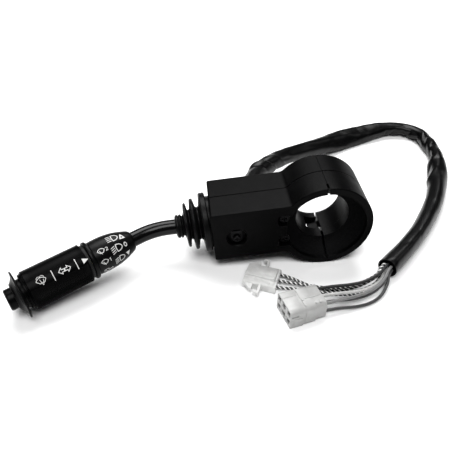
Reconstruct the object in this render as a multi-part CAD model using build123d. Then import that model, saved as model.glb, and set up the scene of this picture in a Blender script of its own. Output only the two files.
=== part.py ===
from build123d import *
import math
import os

# Combination stalk switch for a 35 mm steering-column tube.
# Row frame (mm): origin on the axis of the column clamp, at the mid-depth of the housing.
# -Y runs along the column towards the driver, +X points away from the stalk, +Z is up as the
# switch stands on a bench, on the clamp ring and on the flange at the stalk's tip (z = -30).
# The housing is modelled square in its own frame and then tipped about Y by TILT.

os.makedirs("parts", exist_ok=True)

# ---------------------------------------------------------------- driving dimensions
TILT = 5.275            # the stalk end sits lower than the ring, degrees
BENCH = -30.0           # height of the bench
RING_R = 30.0           # clamp ring outer radius
BORE_R = 17.5           # column bore radius
DISH_R = 25.6           # mouth radius of the dish at the front face
DEPTH = 19.7            # half depth of the housing
BORE_Y = -7.0           # where the dish meets the bore
SEAM_Y = 0.4             # parting plane of the front and rear shells
BODY_X0 = -72.6         # end wall of the housing, outside
BODY_Z0, BODY_Z1 = -16.2, 20.45
WALL = 2.3
SPLIT_X = 0.7           # parting plane of the clamp cap
PIV_X, PIV_Z = -57.3, 2.4     # lever pivots (indicator about Y, beam about Z)
LEV_Y = -2.3            # y of the lever's straight run
BEND = (-110.7, -2.3, 2.4)    # corner of the lever's 30 degree bend
BEND_ANGLE = 30.0
TUBE_R, TUBE_RI = 5.0, 3.8
BEND_R = 38.0
SLEEVE_R = 12.45        # rotating sleeve
RING_BEAD_R = 12.35
FLANGE_R = 15.1         # washer flange
BUTTON_R = 6.7
HARNESS_D = 13.0
GX, GZ = -41.7, -0.7   # where the harness leaves the rear wall
WIRE_D = 2.0

parts = {}


def prism(sk, y0, y1):
    """sketch drawn in X,Z, extruded from y0 to y1"""
    return Pos(0, y1, 0) * extrude(Plane.XZ * sk, amount=(y1 - y0))


def block(x0, x1, y0, y1, z0, z1):
    return Pos((x0 + x1) / 2, (y0 + y1) / 2, (z0 + z1) / 2) * Box(x1 - x0, y1 - y0, z1 - z0)


def cyl_y(x, z, r, y0, y1):
    return Pos(x, (y0 + y1) / 2, z) * Rot(90, 0, 0) * Cylinder(r, y1 - y0)


def cyl_x(y, z, r, x0, x1):
    return Pos((x0 + x1) / 2, y, z) * Rot(0, 90, 0) * Cylinder(r, x1 - x0)


def cyl_z(x, y, r, z0, z1):
    return Pos(x, y, (z0 + z1) / 2) * Cylinder(r, z1 - z0)


def lathe(pts):
    """closed polygon of (radius, height), turned about Z"""
    return revolve(Plane.XZ * make_face(Polyline(*pts, close=True)), Axis.Z)


def coil(radius, wire, height, turns):
    path = Helix(pitch=height / turns, height=height, radius=radius)
    start = path @ 0
    prof = Plane(origin=start, z_dir=path % 0) * Circle(wire / 2)
    return sweep(prof, path=path)


def tip(shape):
    return Rot(0, -TILT, 0) * shape


def group(shapes, loc):
    """separate solids placed at loc and kept as one node"""
    solids = []
    for s in shapes:
        solids += (loc * s).solids()
    return Part() + solids


def add(name, shape):
    parts[name] = tip(shape)


# ---------------------------------------------------------------- housing and clamp ring
def outline():
    body = Pos((BODY_X0 + 0) / 2, (BODY_Z0 + BODY_Z1) / 2) * Rectangle(-BODY_X0, BODY_Z1 - BODY_Z0)
    sk = body + Circle(RING_R)
    f = sk.faces()[0]

    def near(face, x, z):
        return [v for v in face.vertices() if math.hypot(v.X - x, v.Y - z) < 0.6]
    f = fillet(near(f, -math.sqrt(RING_R ** 2 - BODY_Z1 ** 2), BODY_Z1), 4.0).faces()[0]
    f = fillet(near(f, -math.sqrt(RING_R ** 2 - BODY_Z0 ** 2), BODY_Z0), 9.0).faces()[0]
    f = fillet(near(f, BODY_X0, BODY_Z0) + near(f, BODY_X0, BODY_Z1), 1.3).faces()[0]
    return f


OUT = outline()
solid = prism(OUT, -DEPTH, DEPTH)
solid = fillet(solid.faces().sort_by(Axis.Y)[0].edges(), 0.6)
solid = fillet(solid.faces().sort_by(Axis.Y)[-1].edges(), 0.6)

# bore with its dished mouth, turned about the column axis (here: about Z, then laid along Y)
bore_face = make_face([
    Line((0, -26), (DISH_R, -26)), Line((DISH_R, -26), (DISH_R, -DEPTH)),
    ThreePointArc((DISH_R, -DEPTH), (23.2, -11.6), (BORE_R, BORE_Y)),
    Line((BORE_R, BORE_Y), (BORE_R, 26)), Line((BORE_R, 26), (0, 26)), Line((0, 26), (0, -26))])
bore = Rot(-90, 0, 0) * revolve(Plane.XZ * bore_face, Axis.Z)
back_lip = Rot(-90, 0, 0) * lathe([(0, DEPTH - 1.0), (BORE_R, DEPTH - 1.0), (BORE_R + 1.0, DEPTH), (BORE_R + 1.0, 26), (0, 26)])
bore = bore + back_lip

keep = Rot(-90, 0, 0) * lathe([(0, -30), (29.6, -30), (29.6, -18.6), (27.9, -14.2), (26.0, -10.5),
                               (23.6, -7.2), (20.4, -4.5), (20.0, -4.5), (20.0, 30), (0, 30)])
hollow = prism(offset(Sketch() + OUT, amount=-WALL), -DEPTH + WALL, DEPTH - WALL) - keep

# hollow of the housing half, with its bosses left standing
h_hollow = hollow & block(-90, -2.2, -25, 25, -40, 40)
RECESS = (-57.3, 0.9)
TAB_Z = -1.3            # height of the lock tab's screw
CASE_XZ = [(-26.5, 9.6), (-26.6, -6.9)]
bosses = [
    cyl_y(RECESS[0], RECESS[1], 8.4, -18, -13.4),
    cyl_y(PIV_X, PIV_Z + 0.6, 6.0, 11.9, 18),
    cyl_y(-45.0, 14.6, 2.2, 14.2, 18),
    cyl_y(-66.0, -10.4, 2.2, 14.2, 18),
    block(-32.4, -20.6, -18, -14.0, 3.8, 15.4),
    block(-32.4, -20.6, -18, -14.0, -12.6, -1.2),
    block(-14.5, -1.0, 0.8, 11.2, -31, -18.0),
]
for cx, cz in CASE_XZ:
    bosses.append(cyl_y(cx, cz, 3.6, -18, 18))
for b in bosses:
    h_hollow = h_hollow - b
# hollow of the cap half
c_hollow = hollow & block(3.4, 60, -25, 25, -40, 40)
for b in [block(1.0, 22, 0.8, 11.2, -31, -18.0), cyl_y(24.0, 0, 3.6, -9.5, 20)]:
    c_hollow = c_hollow - b

case = solid - bore
half_l = case & block(-100, SPLIT_X - 0.1, -30, 30, -40, 40)
half_r = case & block(SPLIT_X + 0.1, 60, -30, 30, -40, 40)
inner_zone = Rot(-90, 0, 0) * Cylinder(26.6, 80)
half_l = half_l - (inner_zone & block(0.0, 5, -40, 40, -40, 40)) - h_hollow
half_r = half_r - (inner_zone & block(-5, 1.4, -40, 40, -40, 40)) - c_hollow

# openings in the housing half
half_l = half_l - cyl_x(LEV_Y, PIV_Z, 13.0, -76, -68)                       # gaiter opening in the end wall
half_l = half_l - cyl_y(RECESS[0], RECESS[1], 6.3, -21, -15.9)              # front recess
half_l = half_l - (Pos(RECESS[0], -DEPTH, RECESS[1]) * Rot(90, 0, 0) * Cone(6.3, 7.4, 1.4))
half_l = half_l - cyl_y(RECESS[0], TAB_Z, 1.6, -21, -12)                     # screw hole under the lock tab
half_l = half_l - cyl_y(PIV_X, PIV_Z + 0.6, 2.5, -16.2, -12)                # front pivot pin seat
half_l = half_l - cyl_y(PIV_X, PIV_Z + 0.6, 2.5, 10, 15.2)                  # rear pivot pin seat
for (cx, cz), (z0, z1) in zip(CASE_XZ, [(5.8, 13.6), (-10.8, -3.0)]):
    pocket = prism(Pos(-26.5, (z0 + z1) / 2) * RectangleRounded(9.0, z1 - z0, 2.2), -21, -15.9)
    half_l = half_l - pocket - cyl_y(cx, cz, 1.75, -17, 15.5)
half_l = half_l - cyl_y(GX, GZ, 8.0, 16, 21)                           # harness grommet hole
half_l = half_l - block(-8.5, 0.7, 1.7, 13.4, -20.6, -13.5)                 # window in the bore floor
half_l = half_l - block(-21, -16, 3.0, 7.4, 0.2, 4.6)                       # pawl window
# clamp screw: nut pocket and clearance hole
SC_Y, SC_Z = 6.0, -23.8
half_l = half_l - cyl_x(SC_Y, SC_Z, 2.7, -15, 2) - block(-11.2, -7.0, SC_Y - 4.1, SC_Y + 4.1, SC_Z - 4.1, SC_Z + 4.1 + 2)
half_r = half_r - cyl_x(SC_Y, SC_Z, 2.7, 0, 30) - cyl_x(SC_Y, SC_Z, 4.7, 8.0, 30)
# hook at the top of the ring
hook_slot = block(-5.7, 1.5, 2.7, 13.3, 21.2, 24.7) + block(-5.7, -2.2, 2.7, 13.3, 24.6, 26.6)
half_l = half_l - hook_slot
hook = block(-5.2, 3.6, 3.1, 12.9, 21.6, 24.3) + block(-5.2, -2.7, 3.1, 12.9, 24.2, 26.0)
half_r = half_r + hook
# the cap's joint is open at the front of the ring's top
half_l = half_l - block(0.0, 5, -21, -14.2, 20, 40)
half_r = half_r - block(-5, 1.35, -21, -14.2, 20, 40)
# cap screw from the rear face
half_r = half_r - cyl_y(24.0, 0, 1.75, -8.5, 21) - cyl_y(24.0, 0, 3.1, 17.3, 21)

# seam groove round the parting plane, 0.9 deep and 0.66 wide
groove = prism((Sketch() + OUT) - offset(Sketch() + OUT, amount=-0.9), SEAM_Y - 0.33, SEAM_Y + 0.33)
half_l = half_l - groove
half_r = half_r - groove
front_zone = block(-120, 90, -60, SEAM_Y, -60, 60)
rear_zone = block(-120, 90, SEAM_Y, 60, -60, 60)
hook_part = hook & half_r


def biggest(shape):
    s = sorted(shape.solids(), key=lambda q: -q.volume)
    return s[0]


add("front_housing", biggest(half_l & front_zone))
add("rear_housing", biggest(half_l & rear_zone))
add("front_clamp_cap", biggest(half_r & front_zone))
add("rear_clamp_cap", biggest(half_r & rear_zone))

# ---------------------------------------------------------------- fasteners
def pan_screw(x, z, r, head_r, head_h, y_seat, y_end, cross=1.2):
    """pan head screw along +Y, seat of the head at y_seat"""
    head = cyl_y(x, z, head_r, y_seat - head_h, y_seat)
    head = fillet(head.faces().sort_by(Axis.Y)[0].edges(), head_h * 0.45)
    s = head + cyl_y(x, z, r, y_seat, y_end)
    c = block(x - head_r * 0.62, x + head_r * 0.62, y_seat - head_h - 1, y_seat - head_h + cross, z - head_r * 0.17, z + head_r * 0.17)
    d = block(x - head_r * 0.17, x + head_r * 0.17, y_seat - head_h - 1, y_seat - head_h + cross, z - head_r * 0.62, z + head_r * 0.62)
    return s - c - d


parts["case_screws"] = group([pan_screw(cx, cz, 1.75, 3.1, 1.6, -15.9, 15.5) for cx, cz in CASE_XZ], Rot(0, -TILT, 0))
cap_screw = Pos(24.0, 0, 0) * Rot(0, 0, 180) * pan_screw(0, 0, 1.75, 3.0, 2.0, -17.3, 8.0)
add("cap_screw", cap_screw)
add("tab_screw", pan_screw(RECESS[0], TAB_Z, 1.6, 2.6, 1.9, -16.6, -13.5))
tab = block(-60.9, -53.7, -16.6, -15.9, -4.4, 5.4) & cyl_y(RECESS[0], RECESS[1], 6.1, -18, -15)
tab = tab + block(-60.2, -54.4, -18.1, -16.5, 3.6, 5.3) - cyl_y(RECESS[0], TAB_Z, 1.6, -21, -12)
add("pivot_lock_tab", tab)

clamp_screw = cyl_x(SC_Y, SC_Z, 2.5, -14.0, 8.0) + cyl_x(SC_Y, SC_Z, 4.25, 8.0, 12.6)
clamp_screw = fillet(clamp_screw.faces().sort_by(Axis.X)[-1].edges(), 0.5)
hexa = Pos(12.6, SC_Y, SC_Z) * Rot(0, 90, 0) * extrude(RegularPolygon(2.3, 6), amount=-2.4)
add("clamp_screw", clamp_screw - hexa)
nut = block(-11.0, -7.1, SC_Y - 4.0, SC_Y + 4.0, SC_Z - 4.0, SC_Z + 4.0) - cyl_x(SC_Y, SC_Z, 2.5, -20, 0)
add("clamp_nut", nut)

# pivot pins of the yoke (indicator axis, along Y)
PZ = PIV_Z + 0.6
add("front_pivot_pin", cyl_y(PIV_X, PZ, 2.5, -15.85, -10.8))
add("rear_pivot_pin", cyl_y(PIV_X, PZ, 2.5, 8.4, 15.2))

# ---------------------------------------------------------------- inside the housing
board = block(-69.0, -42.0, 12.6, 14.2, -12.6, 16.8)
board = board - cyl_y(PIV_X, PZ, 6.1, 12, 15) - cyl_y(GX, GZ, 5.6, 12, 15)
add("contact_board", board)
pads = []
for px, pz in [(-65.5, 11.0), (-60.5, 13.2), (-53.5, 13.2), (-65.5, -6.5), (-60.0, -9.4), (-54.0, -9.4)]:
    p = block(px - 1.7, px + 1.7, 12.1, 12.6, pz - 1.3, pz + 1.3) + cyl_y(px, pz, 0.75, 14.2, 15.0)
    pads.append(p & block(-80, -30, 12.0, 12.6, -20, 20))
parts["fixed_contacts"] = group(pads, Rot(0, -TILT, 0))
tabs = []
for i in range(9):
    tx = -67.4 + i * 2.4
    tabs.append(block(tx - 0.8, tx + 0.8, 14.2, 14.9, 10.2, 16.0) - cyl_y(tx, 14.6, 0.45, 14, 15.2))
parts["board_terminals"] = group(tabs, Rot(0, -TILT, 0))

# detent plate: a concave cam facing the yoke's plunger
detent = block(-41.0, -34.8, -17.35, 15.4, -8.0, 13.6)
detent = detent - cyl_y(PIV_X, PZ, 19.6, -18, 18)
for a in (-10, 0, 10):
    nx = PIV_X + 19.9 * math.cos(math.radians(a))
    nz = PZ + 19.9 * math.sin(math.radians(a))
    detent = detent - cyl_y(nx, nz, 1.5, -18, 18)
detent = detent - block(-45, -30, 2.8, 7.6, 0.0, 4.8)
add("detent_plate", detent)

pawl = block(-33.6, -19.2, 3.2, 7.2, 0.4, 4.4) + (cyl_y(-19.9, 2.4, 2.0, 3.2, 7.2) & block(-22, -10, 0, 10, 0.4, 4.4))
add("cancel_pawl", pawl)
add("pawl_guide", block(-34.2, -30.6, 1.0, 15.4, -2.2, 7.2) + block(-31.9, -30.6, 15.3, 17.35, -2.2, 7.2) - block(-35, -29, 3.0, 7.4, 0.2, 4.6))

# harness grommet in the rear wall
grom = Pos(GX, 0, GZ) * Rot(-90, 0, 0) * lathe([(0, 15.6), (9.6, 15.6), (9.6, 17.3), (7.95, 17.4), (7.95, 19.7), (10.2, 19.75),
                                                (10.2, 21.4), (8.6, 22.0), (7.0, 27.7), (0, 27.7)])
add("harness_grommet", grom - cyl_y(PIV_X, PZ, 6.4, 15, 17.5))

# ---------------------------------------------------------------- gaiter
GA = Pos(-76.3, -1.2, PIV_Z) * Rot(0, 0, 4.0) * Rot(0, -90, 0)     # +Z of the lathe frame -> outwards along the lever


def gaiter(pts):
    """(radius, distance outwards from the middle of the base disc)"""
    return GA * lathe(pts)


add("gaiter_base", (gaiter([(11.0, -1.9), (11.0, 2.1), (17.2, 2.1), (18.7, 1.6), (19.45, 0.4), (19.45, -0.6), (18.9, -1.6), (17.6, -1.9)]))
    + (cyl_x(-1.2, PIV_Z, 16.8, -76.0, -72.65) + cyl_x(LEV_Y, PIV_Z, 12.8, -75.2, -69.4) + cyl_x(LEV_Y, PIV_Z, 13.9, -70.2, -68.9) - cyl_x(LEV_Y, PIV_Z, 10.9, -80, -60)))
add("gaiter_folds", gaiter([(9.1, 6.3), (9.1, 14.2), (10.6, 14.2), (10.8, 13.0), (14.2, 13.0), (14.5, 12.2), (14.2, 11.4), (10.9, 10.3),
                            (10.9, 9.7), (16.3, 8.4), (16.75, 7.5), (16.3, 6.6), (10.8, 6.3)]))
add("gaiter_collar", gaiter([(5.05, 15.5), (5.05, 19.6), (6.4, 19.6), (7.7, 18.6), (7.7, 15.9), (7.3, 15.5)])
    - cyl_x(LEV_Y, PIV_Z, 5.02, -100, -80))

# ---------------------------------------------------------------- yoke (indicator axis)
YZ0, YZ1 = PZ - 9.0, PZ + 9.0
yoke = block(-64.5, -49.0, -13.2, 10.9, YZ0, YZ1) - block(-66, -51.6, -10.7, 8.3, YZ0 + 2.7, YZ1 - 2.7)
yoke = yoke + cyl_x(-1.0, PZ, 4.6, -49.5, -42.0)
yoke = yoke - cyl_x(-1.0, PZ, 2.6, -48.6, -41)
yoke = yoke - cyl_y(PIV_X, PZ, 2.56, -14, 12)
yoke = yoke - cyl_z(PIV_X, LEV_Y, 2.0, YZ0 - 1, YZ1 + 1)
add("indicator_yoke", yoke)
add("lever_pin", cyl_z(PIV_X, LEV_Y, 2.0, YZ0, YZ1))
pl = cyl_x(-1.0, PZ, 2.5, -46.6, -40.5) + (Pos(-40.5, -1.0, PZ) * Sphere(2.5))
add("detent_plunger", pl)
add("detent_spring", Pos(-48.3, -1.0, PZ) * Rot(0, 90, 0) * coil(1.9, 0.4, 1.45, 2.5))
carrier = block(-66.5, -51.0, 10.9, 11.5, PZ + 3.4, 15.6) + block(-66.5, -51.0, 10.9, 11.5, -10.5, PZ - 3.4) + block(-66.5, -61.0, 10.9, 11.5, -10.5, 15.6)
add("contact_carrier", carrier)
parts["moving_contacts"] = group([block(-66.0, -58.6, 11.5, 11.9, 10.4, 14.6), block(-66.0, -58.4, 11.5, 11.9, -9.8, -5.4)], Rot(0, -TILT, 0))

# ---------------------------------------------------------------- lever (beam axis)
LZ = PIV_Z
heel = block(-66.0, -52.4, LEV_Y - 6.2, LEV_Y + 6.2, PZ - 5.9, PZ + 5.9)
heel = fillet(heel.edges().filter_by(Axis.Z), 1.5)
heel = heel - cyl_z(PIV_X, LEV_Y, 2.06, -20, 20)
heel = heel - cyl_x(LEV_Y, LZ, 5.0, -67, -61.2)
add("lever_heel", heel)

c30, s30 = math.cos(math.radians(BEND_ANGLE)), math.sin(math.radians(BEND_ANGLE))
GRIP = Plane(origin=BEND, x_dir=(s30, -c30, 0), z_dir=(-c30, -s30, 0)).location
TUBE_END = 44.0
tan = BEND_R * math.tan(math.radians(BEND_ANGLE / 2))
p0 = Vector(-66.0 + 4.8, LEV_Y, LZ)
p1 = Vector(BEND[0], BEND[1], BEND[2])
p2 = Vector(BEND[0] - c30 * TUBE_END, BEND[1] - s30 * TUBE_END, BEND[2])
lever_path = FilletPolyline(p0, p1, p2, radius=BEND_R)
tube_prof = Plane(origin=p0, z_dir=(-1, 0, 0)) * (Circle(TUBE_R) - Circle(TUBE_RI))
add("lever_tube", sweep(tube_prof, path=lever_path))


def grip(name, shape):
    add(name, GRIP * shape)


# fixed legend collar: a hollow ovoid shell on the tube
grip("legend_collar", lathe([(5.02, 15.7), (5.6, 15.7), (6.5, 16.5), (7.7, 19.2), (8.75, 22.0), (9.6, 24.4), (10.2, 26.8), (10.65, 29.4),
                             (10.95, 32.4), (11.1, 36.0), (11.0, 40.0), (10.75, 43.5), (9.2, 43.5), (9.2, 30.0), (8.2, 26.2),
                             (6.4, 21.2), (5.02, 20.2)]))
grip("index_ring", lathe([(9.25, 43.6), (11.7, 43.6), (12.2, 44.1), (12.35, 45.0), (12.1, 45.9), (11.6, 46.3), (9.25, 46.3)]))
stator = Pos(0, 0, 37.0) * Cylinder(8.8, 14.0) - Pos(0, 0, 37.0) * Cylinder(5.02, 20)
for a in range(0, 360, 60):
    stator = stator - Pos(7.4 * math.cos(math.radians(a)), 7.4 * math.sin(math.radians(a)), 41.0) * Cylinder(0.8, 8.2)
grip("wiper_switch_base", stator)
studs = []
for a in range(0, 360, 60):
    studs.append(Pos(7.4 * math.cos(math.radians(a)), 7.4 * math.sin(math.radians(a)), 40.9) * Cylinder(0.8, 7.4)
                 + Pos(7.4 * math.cos(math.radians(a)), 7.4 * math.sin(math.radians(a)), 44.4) * Cylinder(1.2, 0.6))
parts["wiper_fixed_contacts"] = group(studs, Rot(0, -TILT, 0) * GRIP)
core = lathe([(2.3, 62.0), (2.3, 86.0), (4.0, 86.0), (4.0, 84.0), (9.95, 84.0), (9.95, 80.0), (4.6, 80.0), (4.6, 55.0),
              (9.95, 55.0), (9.95, 51.0), (4.9, 51.0), (4.9, 44.05), (3.78, 44.05), (3.78, 36.0), (0, 36.0), (0, 62.0)])
core = core - Pos(8.2, 0, 53.0) * Rot(0, 90, 0) * Cylinder(1.25, 3.8)
grip("grip_core", core)
grip("wiper_detent_ball", Pos(8.75, 0, 53.0) * Sphere(1.1))

# rotating sleeve, running on the two discs of the core
grip("rotating_sleeve", lathe([(10.0, 48.3), (12.1, 48.3), (12.45, 48.7), (12.45, 85.0), (12.1, 85.4), (10.0, 85.4)]))
grip("sleeve_end_cap", lathe([(9.45, 84.4), (10.0, 84.4), (10.0, 85.4), (11.5, 85.4), (11.5, 86.0), (11.1, 86.2), (11.1, 87.1), (10.9, 87.3), (9.45, 87.3)]))
rotor = lathe([(5.3, 48.4), (9.3, 48.4), (9.3, 46.6), (11.0, 46.6), (11.0, 48.2), (9.95, 48.2), (9.95, 50.2), (5.3, 50.2)])
grip("wiper_rotor", rotor)
parts["wiper_moving_contacts"] = group([
    Pos(7.4 * math.cos(math.radians(a)), 7.4 * math.sin(math.radians(a)), 46.7) * Cylinder(1.1, 3.4) for a in (30, 150, 270)],
    Rot(0, -TILT, 0) * GRIP)

# washer flange: pressed towards the housing
fl = lathe([(8.2, 86.2), (9.2, 86.2), (9.2, 89.1), (12.4, 89.3), (14.6, 89.6), (15.1, 90.0), (15.0, 90.5), (14.2, 90.6),
            (12.0, 91.0), (10.0, 91.9), (8.6, 93.0), (8.1, 93.6), (6.85, 93.6), (6.85, 89.4), (8.2, 89.4)])
grip("washer_flange", fl)
grip("washer_spring", Pos(0, 0, 84.35) * coil(7.3, 0.5, 4.6, 3.0))

# horn button on its rod
bt = lathe([(0, 88.6), (BUTTON_R, 88.6), (BUTTON_R, 97.4), (BUTTON_R - 0.5, 98.0), (0, 98.15)])
rod = Pos(0, 0, (63.7 + 88.6) / 2) * Cylinder(2.2, 88.6 - 63.7)
grip("horn_button", bt)
grip("horn_rod", rod)
grip("horn_spring", Pos(0, 0, 86.3) * coil(3.3, 0.5, 2.0, 2.0))
grip("horn_contact", Pos(0, 0, 62.05 + 0.15) * Cylinder(1.8, 0.3))

# ---------------------------------------------------------------- harness on the bench
def cord_path(name, pts):
    radii = []
    for a, b, c in zip(pts, pts[1:], pts[2:]):
        u, v = Vector(*b) - Vector(*a), Vector(*c) - Vector(*b)
        turn = math.radians(u.get_angle(v))
        radii.append(0.45 * min(u.length, v.length) / math.tan(turn / 2))
    path = FilletPolyline(*[Vector(*p) for p in pts], radius=radii)
    print(name, "length %.1f" % path.length, "radii", [round(r, 1) for r in radii],
          "runs", [round((Vector(*b) - Vector(*a)).length, 1) for a, b in zip(pts, pts[1:])])
    return path


def cord(name, pts, d):
    path = cord_path(name, pts)
    start = Vector(*pts[0])
    prof = Plane(origin=start, z_dir=Vector(*pts[1]) - start) * Circle(d / 2)
    s = sweep(prof, path=path)
    ideal = math.pi * d * d / 4 * path.length
    print("   volume ratio %.4f" % (s.volume / ideal), "valid", s.is_valid, "zmin %.2f" % s.bounding_box().min.Z)
    parts[name] = s


gw = tip(Pos(GX, 27.7, GZ) * Sphere(0.5)).center()
HARNESS = [(gw.X, 27.7, gw.Z), (gw.X, 42.5, gw.Z), (-29.0, 66.0, -8.5), (-6.5, 90.5, -14.5), (22.5, 110.5, -20.0),
           (57.0, 130.5, -23.4), (95.5, 146.0, -23.4), (120.5, 138.5, -23.4), (126.3, 110.0, -23.4), (117.0, 74.0, -23.4),
           (102.0, 41.0, -23.4), (81.7, 9.5, -23.4), (59.8, -16.0, -23.4), (38.7, -35.3, -23.4)]
cord("harness_sleeve", HARNESS, HARNESS_D)

# connectors: housings with round contact cavities, lying flat on the bench
LC = (-22.3, -62.3)          # centre of the large connector's base
LA = 15.0                    # direction of its cable end, degrees
L_LEN, L_WID, L_HGT = 24.0, 19.0, 13.2
SCN = (-42.2, -33.5)         # small connector
SA = -23.0
S_LEN, S_WID, S_HGT = 21.5, 17.8, 6.8
large_loc = Pos(LC[0], LC[1], BENCH) * Rot(0, 0, LA)
small_loc = Pos(SCN[0], SCN[1], BENCH) * Rot(0, 0, SA)
L_COLS, L_ROWS = (6.35, 0.0, -6.35), (3.8, 10.0)
S_COLS, S_ROW = (5.9, 0.0, -5.9), 3.4

lc = Pos(0, 0, L_HGT / 2) * Box(L_LEN, L_WID, L_HGT)
lc = fillet(lc.edges().filter_by(Axis.X).group_by(Axis.Z)[-1], 3.0)
lc = fillet(lc.edges().filter_by(Axis.Z), 0.6)
sc = Pos(0, 0, S_HGT / 2) * Box(S_LEN, S_WID, S_HGT)
sc = fillet(sc.edges().filter_by(Axis.X), 1.2)
l_terms, s_terms = [], []
for yy in L_COLS:
    for zz in L_ROWS:
        lc = lc - Pos(0, yy, zz) * Rot(0, 90, 0) * Cylinder(1.95, L_LEN + 2)
        l_terms.append(Pos(-3.0, yy, zz) * Rot(0, 90, 0) * (Cylinder(1.7, 16.0) - Pos(0, 0, -6) * Cylinder(1.1, 12.0)))
for yy in S_COLS:
    sc = sc - Pos(0, yy, S_ROW) * Rot(0, 90, 0) * Cylinder(1.55, S_LEN + 2)
    s_terms.append(Pos(-2.0, yy, S_ROW) * Rot(0, 90, 0) * (Cylinder(1.35, 13.0) - Pos(0, 0, -5) * Cylinder(0.8, 10.0)))


def ear(sy):
    """latch ear on the connector's side: a post with a hooked tip"""
    post = block(-0.1, 1.7, 8.7, 15.8, 1.6, 5.2)
    tipb = block(-2.5, 1.7, 14.0, 15.8, 1.6, 5.2)
    e = post + tipb
    return e if sy > 0 else mirror(e, Plane.XZ)


sc = sc + ear(1) + ear(-1)
ramp = Pos(0, 0, 1.6) * extrude(make_face(Polyline((-9.8, 8.7), (-9.8, 9.3), (-4.8, 13.0), (-3.8, 13.0), (-3.8, 8.7), close=True)), amount=3.6)
sc = sc + ramp + mirror(ramp, Plane.XZ)
parts["large_connector"] = large_loc * lc
parts["small_connector"] = small_loc * sc
parts["large_connector_terminals"] = group(l_terms, large_loc)
parts["small_connector_terminals"] = group(s_terms, small_loc)

# wires from the open end of the harness sleeve to the connectors
end = Vector(*HARNESS[-1])
ed = (Vector(*HARNESS[-1]) - Vector(*HARNESS[-2])).normalized()
eq = Vector(-ed.Y, ed.X, 0)          # across the bundle, towards the outside of the loop


def at_end(a, r=3.3):
    """point on the sleeve's end face, a degrees round it"""
    o = eq * (r * math.cos(math.radians(a))) + Vector(0, 0, r * math.sin(math.radians(a)))
    return end + o


def con(loc, x, y, z):
    v = (loc * Pos(x, y, z)).position
    return (v.X, v.Y, v.Z)


def wire(name, start, mids, loc, col, row, half, inset, lead):
    a = con(loc, half + lead, col, row)
    b = con(loc, half - inset, col, row)
    out = start + ed * 4.5
    cord(name, [(start.X, start.Y, start.Z), (out.X, out.Y, out.Z)] + mids + [a, b], WIRE_D)


WIRES = {
    "striped_wire_a": (at_end(180), [(31.8, -40.2, -24.5), (22.0, -44.8, -26.9), (10.0, -47.2, -28.6), (-2.0, -46.6, -28.8), (-12.5, -42.6, -28.6), (-20.5, -37.0, -27.8)], small_loc, S_COLS[0], S_ROW),
    "striped_wire_b": (at_end(135), [(31.0, -41.3, -22.2), (21.0, -45.7, -24.0), (9.5, -47.6, -25.9), (-2.0, -47.2, -26.3), (-13.0, -44.4, -26.2), (-21.5, -41.2, -26.5)], small_loc, S_COLS[1], S_ROW),
    "striped_wire_c": (at_end(225), [(31.2, -43.3, -27.2), (21.0, -48.0, -28.8), (9.5, -49.6, -28.8), (-2.0, -49.1, -28.8), (-13.5, -46.9, -28.8), (-23.0, -44.2, -28.0)], small_loc, S_COLS[2], S_ROW),
}
for n, (st, mids, loc, col, row) in WIRES.items():
    wire(n, st, mids, loc, col, row, S_LEN / 2, 6.25, 3.0)
WIRES2 = {
    "black_wire": (at_end(90), [(31.6, -43.0, -19.6), (22.0, -48.6, -20.0), (12.0, -51.0, -20.5)], large_loc, L_COLS[0], L_ROWS[1]),
    "black_striped_wire": (at_end(270), [(32.4, -44.2, -28.6), (22.5, -50.4, -28.8), (11.5, -52.0, -28.4)], large_loc, L_COLS[0], L_ROWS[0]),
    "light_grey_wire": (at_end(0, 0.0), [(32.2, -44.9, -23.6), (22.8, -51.8, -23.6), (12.2, -55.6, -22.2)], large_loc, L_COLS[1], L_ROWS[1]),
    "grey_wire_a": (at_end(315), [(33.6, -45.9, -26.2), (24.0, -53.0, -27.4), (12.4, -56.4, -27.8)], large_loc, L_COLS[1], L_ROWS[0]),
    "grey_wire_b": (at_end(45), [(33.9, -45.7, -21.4), (25.0, -54.4, -21.2), (14.0, -60.2, -20.4)], large_loc, L_COLS[2], L_ROWS[1]),
    "dark_grey_wire": (at_end(0), [(36.0, -46.8, -25.6), (28.2, -56.6, -28.4), (15.6, -61.8, -28.8)], large_loc, L_COLS[2], L_ROWS[0]),
}
for n, (st, mids, loc, col, row) in WIRES2.items():
    wire(n, st, mids, loc, col, row, L_LEN / 2, 7.0, 4.0)

# ---------------------------------------------------------------- write
low = min((GRIP * Pos(0, 0, 90.0) * Rot(0, 0, a) * Pos(FLANGE_R, 0, 0)).position.Z for a in range(0, 360, 5))
print("nodes", len(parts))
for n, s in parts.items():
    bb = s.bounding_box()
    export_step(s, f"parts/{n}.step")
print("flange lowest z %.3f" % parts["washer_flange"].bounding_box().min.Z, "ring lowest z %.3f" % parts["rear_clamp_cap"].bounding_box().min.Z)
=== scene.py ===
import bpy, bmesh, math
from mathutils import Vector, Matrix, noise, Quaternion


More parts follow.
